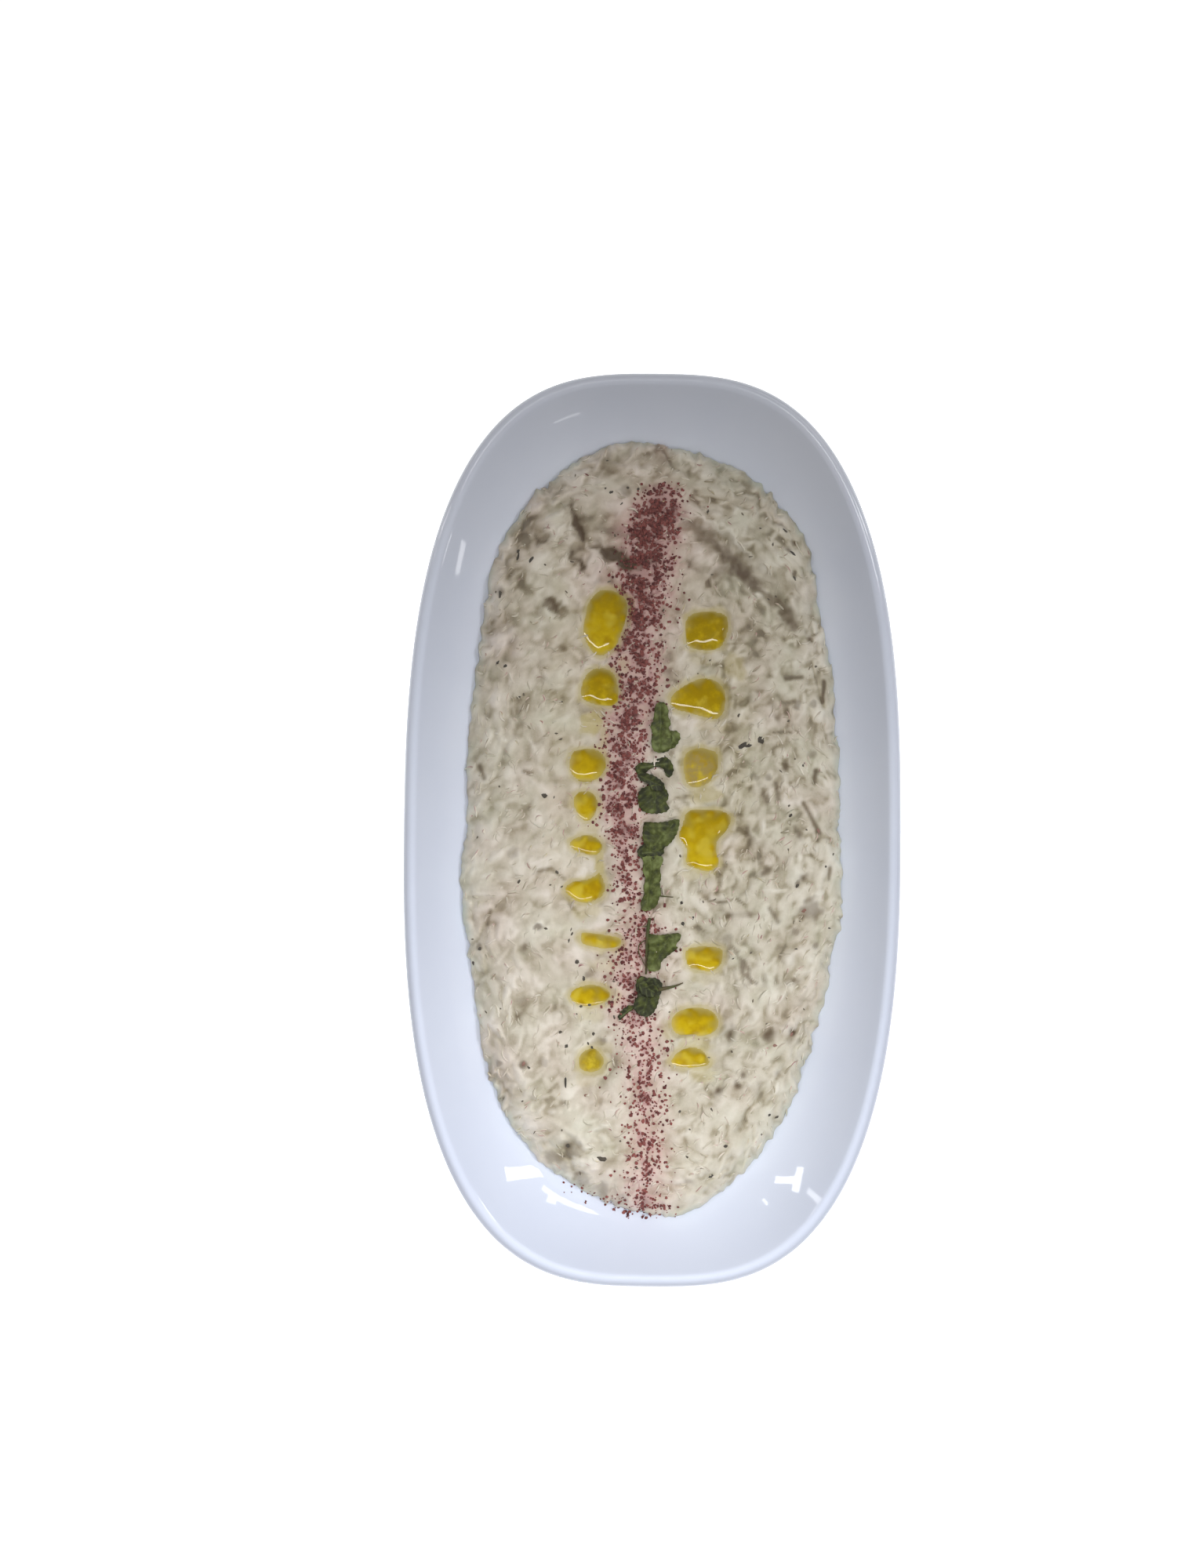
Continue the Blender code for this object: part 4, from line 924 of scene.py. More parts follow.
def dipMaterial():
    look = dipLook
    recipe = Recipe("aubergine_dip", IOR=1.42)
    fine = recipe.noise(look["grain"], 3.0, 0.6)
    speck = recipe.math("MULTIPLY", recipe.math("SUBTRACT", fine, 0.5), 0.22)
    # the tone attribute holds painted shade and painted highlight as well as the pulp's colour
    toneAndShade = recipe.math("ADD", recipe.attribute("toneAndShade"), speck)
    colour = recipe.ramp(toneAndShade, *look["tones"])
    colour = recipe.mix(recipe.ramp(recipe.noise(8.0, 2.0), (0.48, 0.0), (0.75, 0.4)), colour, look["green"])
    colour = recipe.mix(recipe.attribute("blush"), colour, look["blush"], "MULTIPLY")
    colour = recipe.mix(recipe.math("MULTIPLY", recipe.attribute("wet"), 0.7, True), colour, look["wet"])
    stained = recipe.attribute("stained")
    dusting = recipe.ramp(recipe.math("MULTIPLY", stained, 0.5), (0.20, look["sumacThin"]), (0.85, look["sumacThick"]))
    colour = recipe.mix(recipe.math("MULTIPLY", stained, 1.5, True), colour, dusting)
    # the brown mix holds real browning and painted shade in creases, grooves and along the near edge
    brownedAndShaded = recipe.attribute("brownedAndShaded")
    brownAndShade = recipe.ramp(recipe.math("MULTIPLY", brownedAndShaded, 0.5), (0.5, look["brownAndShade"]), (1.0, look["deepBrownAndShade"]))
    colour = recipe.mix(recipe.math("MULTIPLY", brownedAndShaded, 0.92, True), colour, brownAndShade)
    oily = recipe.math("MULTIPLY", recipe.attribute("oily"), 0.75, True)
    colour = recipe.mix(oily, colour, look["oil"])
    recipe.toShader(colour, "Base Color")
    shine = recipe.math("MULTIPLY", oily, look["roughness"] - look["oilRoughness"])
    recipe.toShader(recipe.math("SUBTRACT", look["roughness"], shine), "Roughness")
    recipe.bump(fine, look["grainDepth"])
    return recipe.material


# Grains and flecks that lie loose

sumacGrains = {"count": 5000, "size": (0.17, 0.54), "flat": 0.6, "spread": 0.43, "seed": 11, "spilled": 80,
               "fullest": 2.3}
sumacLook = {"dark": (0.060, 0.013, 0.014), "light": (0.31, 0.095, 0.078), "roughness": 0.6}
charFlecks = [  # x, y, length, width, turn in degrees
    (-37.6, 74.2, 2.4, 1.0, 75), (-33.9, 73.2, 2.0, 0.9, 60), (-42.5, 63.9, 2.8, 1.0, 85),
    (-43.0, 44.6, 1.4, 0.8, 60), (-40.8, 43.6, 1.2, 0.9, 20), (-37.0, 34.9, 1.3, 0.8, 30),
    (25.7, 22.3, 3.9, 2.0, 20), (29.4, 24.0, 3.1, 2.6, 30), (-29.6, 7.8, 1.6, 1.4, 0),
    (-36.4, -15.9, 1.3, 0.8, 70), (-25.9, -13.4, 1.6, 1.1, 120), (-47.0, -34.3, 1.3, 0.9, 40),
    (-48.9, -38.4, 1.3, 0.9, 90), (-20.3, -37.7, 1.1, 1.0, 0), (39.8, -16.3, 1.3, 0.9, 50),
    (-22.2, -87.7, 1.8, 1.5, 20), (36.4, 82.4, 1.8, 0.7, -35),
    (38.4, 75.8, 2.2, 0.8, -38), (38.8, 68.8, 1.6, 0.9, -60), (-18.4, -42.2, 1.5, 0.9, 110),
    (-16.8, -49.4, 1.1, 0.7, 10), (-23.0, -60.6, 1.2, 0.9, 60), (-16.0, -61.0, 1.0, 0.7, 120),
    (8.0, -78.0, 1.0, 0.8, 30), (20.6, -87.4, 1.4, 1.0, 0), (16.8, -95.8, 1.5, 1.0, 20),
    (11.4, -25.4, 1.0, 0.8, 90), (8.2, -21.2, 1.1, 0.9, 60), (8.6, -27.0, 1.2, 0.9, 90),
    (-30.4, 97.2, 1.0, 0.8, 0), (-12.0, 92.0, 1.2, 0.8, 30), (-7.4, 93.4, 1.0, 0.7, 0), (-4.6, 93.0, 1.1, 0.7, 50),
    (-13.0, -91.0, 2.6, 1.6, -20), (-6.0, 61.0, 1.2, 1.0, 0), (41.5, 17.0, 1.4, 0.7, 70), (38.0, 3.0, 1.1, 0.7, 40),
    (-24.7, -56.8, 1.1, 0.8, 20), (-15.6, -57.2, 1.0, 0.8, 60), (-23.1, -70.5, 3.0, 0.6, 92),
    (35.0, -79.9, 1.3, 0.9, 30), (32.8, -79.1, 1.0, 0.8, 0), (-37.7, 75.7, 1.6, 0.9, 80),
    (-20.4, -37.6, 1.2, 1.0, 40), (-19.1, -49.8, 1.0, 0.7, 20),
]
redFlecks = [
    (-34.6, -65.5, 1.4, 0.9, 60), (45.9, -1.2, 2.2, 0.8, -60), (41.8, -23.0, 1.6, 1.2, 20),
    (38.6, -57.0, 1.4, 1.0, 40), (34.0, -60.0, 1.2, 0.9, 0), (-17.6, -73.9, 1.1, 0.8, 20),
]
pulpStrands = {"count": 1800, "length": (1.2, 4.4), "width": (0.17, 0.42), "seed": 21, "bend": 0.34,
               "lighter": 0.05, "sway": 0.13}
fleckLook = {"char": (0.030, 0.026, 0.024), "charLight": (0.20, 0.165, 0.115), "red": (0.23, 0.115, 0.085),
             "redLight": (0.36, 0.21, 0.16), "roughness": 0.45}


def facing(normal):
    return Vector((0.0, 0.0, 1.0)).rotation_difference(normal).to_matrix().to_4x4()


def landing(trees, x, y):
    best = None
    for tree in trees:
        spot, normal, face, _ = tree.ray_cast(Vector((x * mm, y * mm, 0.06)), Vector((0.0, 0.0, -1.0)))
        if spot is not None and (best is None or spot.z > best[0].z):
            best = (spot, normal, face)
    return best


def treeOf(piece):
    return BVHTree.FromObject(piece, bpy.context.evaluated_depsgraph_get())


def addGrain(bm, place, normal, sizes, turn, rng, facets=1):
    pose = Matrix.Translation(place) @ facing(normal) @ Matrix.Rotation(turn, 4, "Z")
    pose = pose @ Matrix.Diagonal((*[size * mm for size in sizes], 1.0))
    made = bmesh.ops.create_icosphere(bm, subdivisions=facets, radius=1.0, matrix=pose)["verts"]
    for vert in made:
        vert.co = place + (vert.co - place) * rng.uniform(0.72, 1.25)
    return len(made)


def joinBatches(batches):
    whole = bmesh.new()
    for batch in batches:
        mesh = bpy.data.meshes.new("batch")
        batch.to_mesh(mesh)
        batch.free()
        whole.from_mesh(mesh)
        bpy.data.meshes.remove(mesh)
    return whole


def makeSumac(material, trees, keepOff):
    look = sumacGrains
    rng = random.Random(look["seed"])
    batches, tints, placed = [bmesh.new()], [], 0
    while placed < look["count"]:
        if placed >= look["count"] - look["spilled"]:
            y = rng.uniform(-108.5, -103.0)
            x = rng.gauss(-7.0, 9.0)
            if x > 8.0 or x < -26.0:
                continue
            y += max(0.0, -x - 4.0) * 0.28
        else:
            y = rng.uniform(-107.0, 97.0)
            if rng.random() * sumacGrains["fullest"] > float(tableAt(sumacBand["density"], y)):
                continue
            x = float(bandMiddle(y)) + rng.gauss(0.0, look["spread"]) * float(tableAt(sumacBand["width"], y)) * 1.25
            clump = 0.9 * noise.noise((x / 3.4, y / 3.4, 77.7)) + 1.5 * noise.noise((x / 1.1, y / 1.1, 79.9))
            if rng.random() > 0.62 + clump:
                continue
            if rng.random() < 0.03:
                x += rng.gauss(0.0, 5.0)
        if any(keep(x, y) for keep in keepOff):
            continue
        found = landing(trees, x, y)
        if found is None:
            continue
        place, normal, _ = found
        size = mixValue(*look["size"], rng.random() ** 1.6)
        sizes = (size * rng.uniform(0.8, 1.3), size, size * look["flat"] * rng.uniform(0.7, 1.3))
        tilt = Vector((rng.gauss(0.0, 0.35), rng.gauss(0.0, 0.35), 1.0)) + normal
        count = addGrain(batches[-1], place + normal * size * 0.28 * mm, tilt.normalized(), sizes,
                         rng.uniform(0.0, math.tau), rng)
        tints += [rng.random()] * count
        placed += 1
        if placed % 200 == 0:
            batches.append(bmesh.new())
    piece = addPiece("sumac_grains", joinBatches(batches), material, sharp=35.0)
    setAttribute(piece.data, "tint", tints)
    return piece


def makeStrands(dip, trees, keepOff):      # fibres of aubergine half sunk in the dip, toned like their ground
    look = pulpStrands
    rng = random.Random(look["seed"])
    names = ("toneAndShade", "oily", "stained", "wet", "brownedAndShaded", "blush")
    ground = {name: dip.data.attributes[name].data for name in names}
    batches, tints, placed = [bmesh.new()], [], 0
    while placed < look["count"]:
        angle, reach = rng.uniform(0.0, math.tau), math.sqrt(rng.random()) * 0.985
        x = dipShape["halfX"] * float(outlineReach(angle)) * reach * math.cos(angle)
        y = dipShape["halfY"] * float(outlineReach(angle)) * reach * math.sin(angle)
        found = None if any(keep(x, y) for keep in keepOff) else landing(trees, x, y)
        if found is None:
            continue
        place, normal, face = found
        under = dip.data.polygons[face].vertices[0]
        if ground["brownedAndShaded"][under].value > 0.3:
            continue
        half, wide = rng.uniform(*look["length"]) / 2.0, rng.uniform(*look["width"])
        turn = flowAt(x, y) + rng.gauss(0.0, 0.6)
        bend, arch = rng.gauss(0.0, look["bend"]) * half, rng.uniform(0.0, 0.12) * half
        pose = Matrix.Translation(place - normal * 0.05 * mm) @ facing(normal) @ Matrix.Rotation(turn, 4, "Z")
        made = bmesh.ops.create_uvsphere(batches[-1], u_segments=6, v_segments=6, radius=1.0)["verts"]
        for vert in made:
            run = vert.co.z
            side = vert.co.y * wide + bend * (run * run - 0.4) + 0.3 * bend * run ** 3
            vert.co = pose @ (Vector((run * half, side, vert.co.x * wide * 0.8 - arch * run * run)) * mm)
        tone = [ground[name][under].value for name in names]
        tone[0] = min(max(tone[0] + look["lighter"] + rng.gauss(0.0, look["sway"]), 0.1), 0.9)
        tints += [tone] * len(made)
        placed += 1
        if placed % 200 == 0:
            batches.append(bmesh.new())
    piece = addPiece("pulp_strands", joinBatches(batches), dip.data.materials[0])
    for name, values in zip(names, zip(*tints)):
        setAttribute(piece.data, name, values)
    return piece


def makeFlecks(name, flecks, material, trees, seed, extra=0):
    rng = random.Random(seed)
    bm = bmesh.new()
    rows = list(flecks)
    while len(rows) < len(flecks) + extra:
        turn, reach = rng.uniform(0.0, math.tau), math.sqrt(rng.random()) * 0.96
        x = dipShape["halfX"] * float(outlineReach(turn)) * reach * math.cos(turn)
        y = dipShape["halfY"] * float(outlineReach(turn)) * reach * math.sin(turn)
        rows.append((x, y, rng.uniform(0.5, 1.3), rng.uniform(0.35, 0.65), rng.uniform(0.0, 180.0)))
    tints = []
    for index, (x, y, length, width, turn) in enumerate(rows):
        found = landing(trees, x, y)
        if found is None:
            continue
        place, normal, _ = found
        count = addGrain(bm, place - normal * 0.02 * mm, (normal + Vector((0.0, 0.0, 1.0))).normalized(),
                         (length / 2.0, width / 2.0, 0.22), math.radians(turn), rng, 2)
        tints += [rng.random() * 0.4 if index < len(flecks) else 0.35 + rng.random() * 0.6] * count
    piece = addPiece(name, bm, material, sharp=40.0)
    setAttribute(piece.data, "tint", tints)
    return piece


def grainMaterial(name, dark, light, roughness):
    recipe = Recipe(name, Roughness=roughness)
    cloud = recipe.noise(0.5, 2.0)
    share = recipe.math("ADD", recipe.math("MULTIPLY", recipe.attribute("tint"), 0.75),
                        recipe.math("MULTIPLY", cloud, 0.35))
    recipe.toShader(recipe.mix(share, dark, light), "Base Color")
    return recipe.material


# Parsley: lobes about the middles of the CAD nodes, each an outline, a midrib and a form

parsleyLobes = {
    "parsley_1": [
        {"outline": [(-1.8, 6.4), (-0.2, 6.1), (0.8, 4.1), (0.7, 2.5), (1.5, 0.6), (0.8, -0.8), (1.5, -1.7),
                     (1.9, -3.6), (1.7, -5.8), (0.5, -7.2), (-1.7, -7.6), (-3.4, -6.8), (-3.9, -4.4), (-3.6, -2.2),
                     (-4.2, -0.3), (-3.4, 1.3), (-3.1, 3.5), (-2.9, 5.2)],
         "rib": [(-1.2, 5.7), (-1.3, -6.8)], "fold": 0.25, "lift": 0.9, "tone": 0.55},
        {"outline": [(0.4, -2.0), (1.7, -1.5), (3.3, -1.6), (4.1, -3.2), (3.2, -5.2), (1.8, -6.4), (0.6, -5.0)],
         "rib": [(0.9, -3.6), (3.5, -3.2)], "fold": 0.1, "lift": 0.7, "tone": 0.75},
    ],
    "parsley_2": [
        {"outline": [(-5.1, 5.0), (-3.7, 6.2), (-1.0, 6.1), (1.1, 7.4), (3.3, 7.7), (4.6, 6.4), (5.3, 4.3),
                     (4.4, 2.3), (3.2, 2.8), (2.4, 4.6), (0.3, 5.0), (-1.6, 4.2), (-2.9, 2.8), (-4.8, 3.3)],
         "rib": [(-3.6, 4.8), (3.4, 6.0)], "fold": -0.2, "lift": 1.0, "tone": 0.05},
        {"outline": [(-4.6, 3.4), (-2.6, 3.3), (-0.5, 2.8), (1.7, 1.5), (2.8, 0.1), (2.5, -1.4), (-0.4, -1.4),
                     (-1.8, 0.4), (-3.9, 1.4)],
         "rib": [(-3.6, 2.4), (1.8, 0.0)], "fold": 0.25, "lift": 0.9, "tone": 0.0},
        {"outline": [(-1.5, -0.2), (1.2, 0.1), (3.3, -1.2), (4.0, -3.1), (3.4, -4.7), (4.2, -6.1), (3.2, -7.3),
                     (0.4, -7.8), (-2.3, -7.5), (-3.9, -6.1), (-4.4, -3.7), (-3.9, -1.3)],
         "rib": [(0.0, -0.6), (0.2, -6.8)], "fold": 0.2, "lift": 0.7, "tone": 0.22},
    ],
    "parsley_3": [
        {"outline": [(-3.3, 4.1), (-0.4, 4.0), (2.6, 4.4), (4.7, 5.0), (6.0, 4.7), (5.8, 2.6), (5.0, 0.5),
                     (3.7, -1.4), (2.4, -2.5), (0.6, -3.6), (-1.6, -3.9), (-3.1, -2.6), (-4.1, -0.2), (-3.9, 2.3)],
         "rib": [(4.2, 3.8), (-1.0, -2.8)], "fold": 0.25, "lift": 1.0, "tone": 0.4},
        {"outline": [(-3.4, -2.0), (-1.2, -1.9), (1.2, -2.6), (1.9, -3.9), (0.7, -5.5), (-1.6, -6.4), (-4.1, -6.0),
                     (-5.5, -4.6), (-5.0, -2.9)],
         "rib": [(-4.0, -4.4), (0.6, -3.8)], "fold": 0.1, "lift": 0.8, "tone": 0.12},
    ],
    "parsley_4": [
        {"outline": [(-2.9, 8.8), (-0.7, 9.4), (2.3, 9.2), (2.8, 8.0), (2.0, 5.8), (2.3, 3.7), (2.0, 1.5),
                     (2.3, -0.6), (1.8, -2.3), (1.0, -4.4), (-0.9, -5.6), (-2.8, -5.6), (-3.2, -3.4), (-2.3, -1.2),
                     (-2.5, 0.9), (-2.0, 3.1), (-2.8, 5.2), (-2.6, 7.4)],
         "rib": [(-0.2, 8.4), (-1.3, -4.8)], "fold": 0.35, "lift": 0.7, "tone": 0.62},
    ],
    "parsley_5": [
        {"outline": [(-4.2, 4.5), (-1.5, 4.2), (1.5, 4.5), (4.4, 4.7), (4.6, 3.2), (3.4, 1.6), (3.9, 0.8),
                     (2.3, -0.6), (0.7, -1.9), (-0.6, -3.3), (-0.9, -5.1), (-2.5, -5.7), (-4.1, -5.4), (-4.4, -2.5),
                     (-4.1, 0.7), (-4.4, 2.9)],
         "rib": [(1.6, 3.4), (-3.4, -4.6)], "fold": 0.25, "lift": 0.8, "tone": 0.5},
    ],
    "parsley_6": [
        {"outline": [(-3.1, 4.2), (-1.8, 5.3), (-0.2, 4.8), (2.0, 4.8), (3.6, 3.7), (3.9, 1.9), (3.1, -0.3),
                     (2.6, -2.4), (1.5, -4.6), (-0.4, -5.7), (-2.5, -5.1), (-3.9, -3.5), (-3.6, -1.4), (-2.8, 0.2),
                     (-3.4, 2.1)],
         "rib": [(1.0, 3.8), (-1.2, -4.6)], "fold": 0.3, "lift": 0.9, "tone": 0.0},
        {"outline": [(-3.4, -3.3), (-5.5, -4.7), (-7.3, -6.6), (-8.2, -6.0), (-7.1, -4.1), (-5.0, -2.7)],
         "rib": [(-4.4, -3.5), (-7.4, -5.9)], "fold": 0.1, "lift": 0.5, "tone": 0.08},
        {"outline": [(-1.6, 4.2), (0.6, 3.6), (2.6, 2.0), (2.2, 0.2), (0.2, -0.4), (-1.8, 0.6), (-2.4, 2.4)],
         "rib": [(-1.4, 2.8), (1.6, 1.0)], "fold": 0.4, "lift": 1.5, "tone": 0.1},
    ],
}
parsleyStems = [    # points with thickness: x, y, above the dip, radius
    [(2.0, -19.4, 0.7, 0.20), (4.0, -19.6, 0.5, 0.18), (5.9, -19.7, 0.3, 0.12)],
    [(-0.5, -25.5, 0.3, 0.42), (-0.9, -27.6, 0.5, 0.48), (-1.2, -31.4, 0.6, 0.42), (-1.3, -35.6, 0.5, 0.32),
     (-1.4, -40.8, 0.3, 0.26)],
    [(-1.4, -31.5, 0.4, 0.16), (-3.4, -32.2, 0.4, 0.14), (-3.6, -34.9, 0.3, 0.14), (-2.2, -37.3, 0.3, 0.15),
     (-1.5, -38.9, 0.3, 0.14)],
    [(-0.9, -27.7, 0.4, 0.14), (-2.4, -27.8, 0.3, 0.10)],
    [(1.8, -45.0, 1.0, 0.62), (5.0, -44.4, 0.9, 0.42), (7.2, -43.8, 0.6, 0.26), (8.8, -43.1, 0.4, 0.14)],
]
leafShape = {"points": 84, "rings": 7, "tooth": 0.26, "toothRun": 1.35, "vein": 0.09, "veinRun": 1.7,
             "ripple": 0.42, "thickness": 0.24}


def nearestOnRib(x, y, rib):
    (startX, startY), (endX, endY) = rib
    runX, runY = endX - startX, endY - startY
    share = min(max(((x - startX) * runX + (y - startY) * runY) / (runX ** 2 + runY ** 2), 0.0), 1.0)
    return startX + share * runX, startY + share * runY, share


def addLobe(bm, lobe, middle, seed, layers):
    shape = leafShape
    loop = smoothLoop(lobe["outline"], shape["points"])
    centre = loop.mean(0)
    run = np.linspace(0.0, 1.0, shape["points"], endpoint=False)
    length = np.hypot(*np.diff(np.vstack([loop, loop[:1]]), axis=0).T).sum()
    tooth = np.abs(((run * length / shape["toothRun"]) % 1.0) - 0.5) * 2.0 - 0.5
    spoke = loop - centre
    loop = loop + spoke / np.hypot(*spoke.T)[:, None] * tooth[:, None] * shape["tooth"]
    made = bmesh.ops.create_circle(bm, cap_ends=False, segments=shape["points"], radius=1.0)["verts"]
    for vert, (x, y) in zip(made, loop):
        vert.co = (x, y, 0.0)
    everyVert = list(made)
    edges = list({edge for vert in made for edge in vert.link_edges})
    previous = 1.0
    for step in range(1, shape["rings"]):
        share = 1.0 - step / shape["rings"]
        ring = bmesh.ops.extrude_edge_only(bm, edges=edges)["geom"]
        edges = [item for item in ring if isinstance(item, bmesh.types.BMEdge)]
        fresh = [item for item in ring if isinstance(item, bmesh.types.BMVert)]
        for vert in fresh:
            footX, footY, _ = nearestOnRib(vert.co.x, vert.co.y, lobe["rib"])
            vert.co.x = footX + (vert.co.x - footX) * share / previous
            vert.co.y = footY + (vert.co.y - footY) * share / previous
        everyVert += fresh
        previous = share
    ring = bmesh.ops.extrude_edge_only(bm, edges=edges)["geom"]
    fresh = [item for item in ring if isinstance(item, bmesh.types.BMVert)]
    for vert in fresh:
        footX, footY, _ = nearestOnRib(vert.co.x, vert.co.y, lobe["rib"])
        vert.co.x, vert.co.y = footX, footY
    everyVert += fresh
    ribX, ribY = lobe["rib"][1][0] - lobe["rib"][0][0], lobe["rib"][1][1] - lobe["rib"][0][1]
    ribLength = math.hypot(ribX, ribY)
    points = np.array([(vert.co.x + middle.x, vert.co.y + middle.y) for vert in everyVert])
    ground = dipBase(points[:, 0], points[:, 1])[0]
    swells = noiseAt(points[:, 0], points[:, 1], 3.4, seed)
    ripples = noiseAt(points[:, 0], points[:, 1], 1.3, seed + 7.3)
    for vert, under, swell, ripple in zip(everyVert, ground, swells, ripples):
        footX, footY, share = nearestOnRib(vert.co.x, vert.co.y, lobe["rib"])
        off = math.hypot(vert.co.x - footX, vert.co.y - footY)
        phase = (share * ribLength - 0.8 * off) / shape["veinRun"]
        sideVein = math.exp(-((phase % 1.0 - 0.5) / 0.10) ** 2) * min(off / 0.6, 1.0)
        midVein = math.exp(-(off / 0.22) ** 2)
        height = lobe["lift"] + lobe["fold"] * off + shape["ripple"] * (1.6 * swell + 0.5 * ripple)
        height -= shape["vein"] * max(sideVein, 1.4 * midVein)
        height -= 0.05 * off ** 2
        vert[layers[0]] = max(sideVein * 0.6, midVein)
        vert[layers[1]] = lobe["tone"] + 0.45 * ripple + 0.5 * swell
        vert.co = (vert.co.x + middle.x, vert.co.y + middle.y, under + max(height, 0.25))


def makeParsley(name, material, seed):
    bm = bmesh.new()
    layers = [bm.verts.layers.float.new("vein"), bm.verts.layers.float.new("tone")]
    for index, lobe in enumerate(parsleyLobes[name]):
        addLobe(bm, lobe, boxMiddle(name), seed + 3.1 * index, layers)
    bmesh.ops.remove_doubles(bm, verts=bm.verts, dist=0.04)
    bmesh.ops.scale(bm, verts=bm.verts, vec=(mm, mm, mm))
    bmesh.ops.recalc_face_normals(bm, faces=bm.faces)
    for face in list(bm.faces):
        if face.normal.z < 0.0:
            face.normal_flip()
    piece = addPiece(name + "_leaf", bm, material, [name])
    shell = piece.modifiers.new("Leaf", "SOLIDIFY")
    shell.thickness = leafShape["thickness"] * mm
    shell.offset = 0.0
    return piece


def makeStems(material):
    curve = bpy.data.curves.new("stems", "CURVE")
    curve.dimensions = "3D"
    curve.bevel_depth = 1.0 * mm
    curve.bevel_resolution = 3
    curve.resolution_u = 8
    curve.use_fill_caps = True
    for path in parsleyStems:
        spline = curve.splines.new("NURBS")
        spline.points.add(len(path) - 1)
        spline.order_u = 3
        spline.use_endpoint_u = True
        ground = dipBase(np.array([row[0] for row in path]), np.array([row[1] for row in path]))[0]
        for point, (x, y, above, radius), under in zip(spline.points, path, ground):
            point.co = (x * mm, y * mm, (under + above) * mm, 1.0)
            point.radius = radius
    shaft = bpy.data.objects.new("stems", curve)
    bpy.context.scene.collection.objects.link(shaft)
    bpy.context.view_layer.update()
    mesh = bpy.data.meshes.new_from_object(shaft.evaluated_get(bpy.context.evaluated_depsgraph_get()))
    bpy.data.objects.remove(shaft)
    bm = bmesh.new()
    bm.from_mesh(mesh)
    bmesh.ops.remove_doubles(bm, verts=bm.verts, dist=0.00001)
    bmesh.ops.recalc_face_normals(bm, faces=bm.faces)
    return addPiece("parsley_stems", bm, material)


leafLook = {
    "dark": (0.034, 0.036, 0.018), "middle": (0.074, 0.085, 0.019), "light": (0.17, 0.20, 0.065),
    "vein": (0.20, 0.235, 0.09), "roughness": 0.42,
}


def leafMaterial():
    look = leafLook
    recipe = Recipe("parsley_green", Roughness=look["roughness"], IOR=1.36)
    cloud = recipe.noise(1.6, 3.0)
    sway = recipe.math("MULTIPLY", recipe.math("SUBTRACT", cloud, 0.5), 1.7)
    tone = recipe.math("ADD", recipe.attribute("tone"), sway)
    colour = recipe.ramp(tone, (0.0, look["dark"]), (0.5, look["middle"]), (1.0, look["light"]))
    colour = recipe.mix(recipe.math("MULTIPLY", recipe.attribute("vein"), 0.5, True), colour, look["vein"])
    recipe.toShader(colour, "Base Color")
    recipe.bump(recipe.noise(0.35, 2.0), 0.04)
    return recipe.material


def stemMaterial():
    recipe = Recipe("parsley_stem", Roughness=0.4)
    cloud = recipe.noise(3.0, 2.0, stretch=(1.0, 0.5, 1.0))
    recipe.toShader(recipe.ramp(cloud, (0.35, (0.055, 0.085, 0.02)), (0.6, (0.10, 0.075, 0.035))), "Base Color")
    recipe.bump(recipe.noise(0.5, 2.0), 0.05)
    return recipe.material


# Camera, floor and light

cameraSetup = {"aim": (-17.47, 11.06, 22.0), "distance": 600.0, "tilt": 3.31, "roll": 0.51, "lens": 50.46}
lightSetup = {
    "aim": (-0.01, -0.153, 0.0), "distance": 1.15, "radius": 0.14, "cone": 25.0,
    "colour": (0.94, 0.98, 1.07),
    "spots": [      # lean toward +X, lean toward +Y in degrees, watts, how far on toward +Y it aims
        (8.0, 18.0, 12.3, 0.0), (40.0, 3.0, 20.4, 0.045), (-30.0, 12.0, 9.8, 0.0),
        (0.0, 46.0, 3.0, 0.0), (0.0, -30.0, 15.2, 0.0),
    ],
    "ceiling": {"height": 1.3, "size": 4.0, "power": 18.0, "colour": (1.0, 0.955, 0.90)},
    "panels": [     # direction, width, height, turn, radiance: seen only in what shines
        ((0.23, 0.334, 0.914), 0.95, 0.055, 0.0, 11.0), ((0.749, 0.473, 0.463), 0.085, 0.36, -26.0, 11.0),
        ((0.378, 0.76, 0.528), 0.80, 0.05, 0.0, 7.0), ((0.558, 0.672, 0.486), 0.10, 0.06, 20.0, 7.0),
        ((-0.8125, 0.469, 0.3465), 0.15, 0.06, 21.0, 10.0), ((-0.773, 0.487, 0.4066), 0.21, 0.05, -60.0, 10.0),
        ((-0.631, 0.640, 0.437), 0.03, 0.06, 0.0, 8.0), ((-0.845, 0.495, 0.204), 0.04, 0.14, 0.0, 6.0),
        ((0.983, -0.028, 0.181), 0.07, 0.045, 0.0, 5.0), ((0.46, -0.804, 0.377), 0.30, 0.02, 0.0, 3.0),
    ],
    "panelDistance": 1.2,
    "room": {"colour": (1.0, 0.97, 0.93), "strength": 0.12},
}


def lookMatrix(place, aim, up=Vector((0.0, 1.0, 0.0))):
    back = (place - aim).normalized()
    side = up.cross(back).normalized()
    top = back.cross(side)
    return Matrix.Translation(place) @ Matrix((side, top, back)).transposed().to_4x4()


def makeCamera():
    tilt = math.radians(cameraSetup["tilt"])
    aim = Vector(cameraSetup["aim"]) * mm
    place = aim + cameraSetup["distance"] * mm * Vector((0.0, -math.sin(tilt), math.cos(tilt)))
    data = bpy.data.cameras.new("camera")
    data.lens = cameraSetup["lens"]
    data.sensor_width = 36.0
    data.clip_start, data.clip_end = 0.01, 20.0
    camera = bpy.data.objects.new("camera", data)
    camera.matrix_world = Matrix.Rotation(math.radians(cameraSetup["roll"]), 4, "Z") @ lookMatrix(place, aim)
    bpy.context.scene.collection.objects.link(camera)
    bpy.context.scene.camera = camera


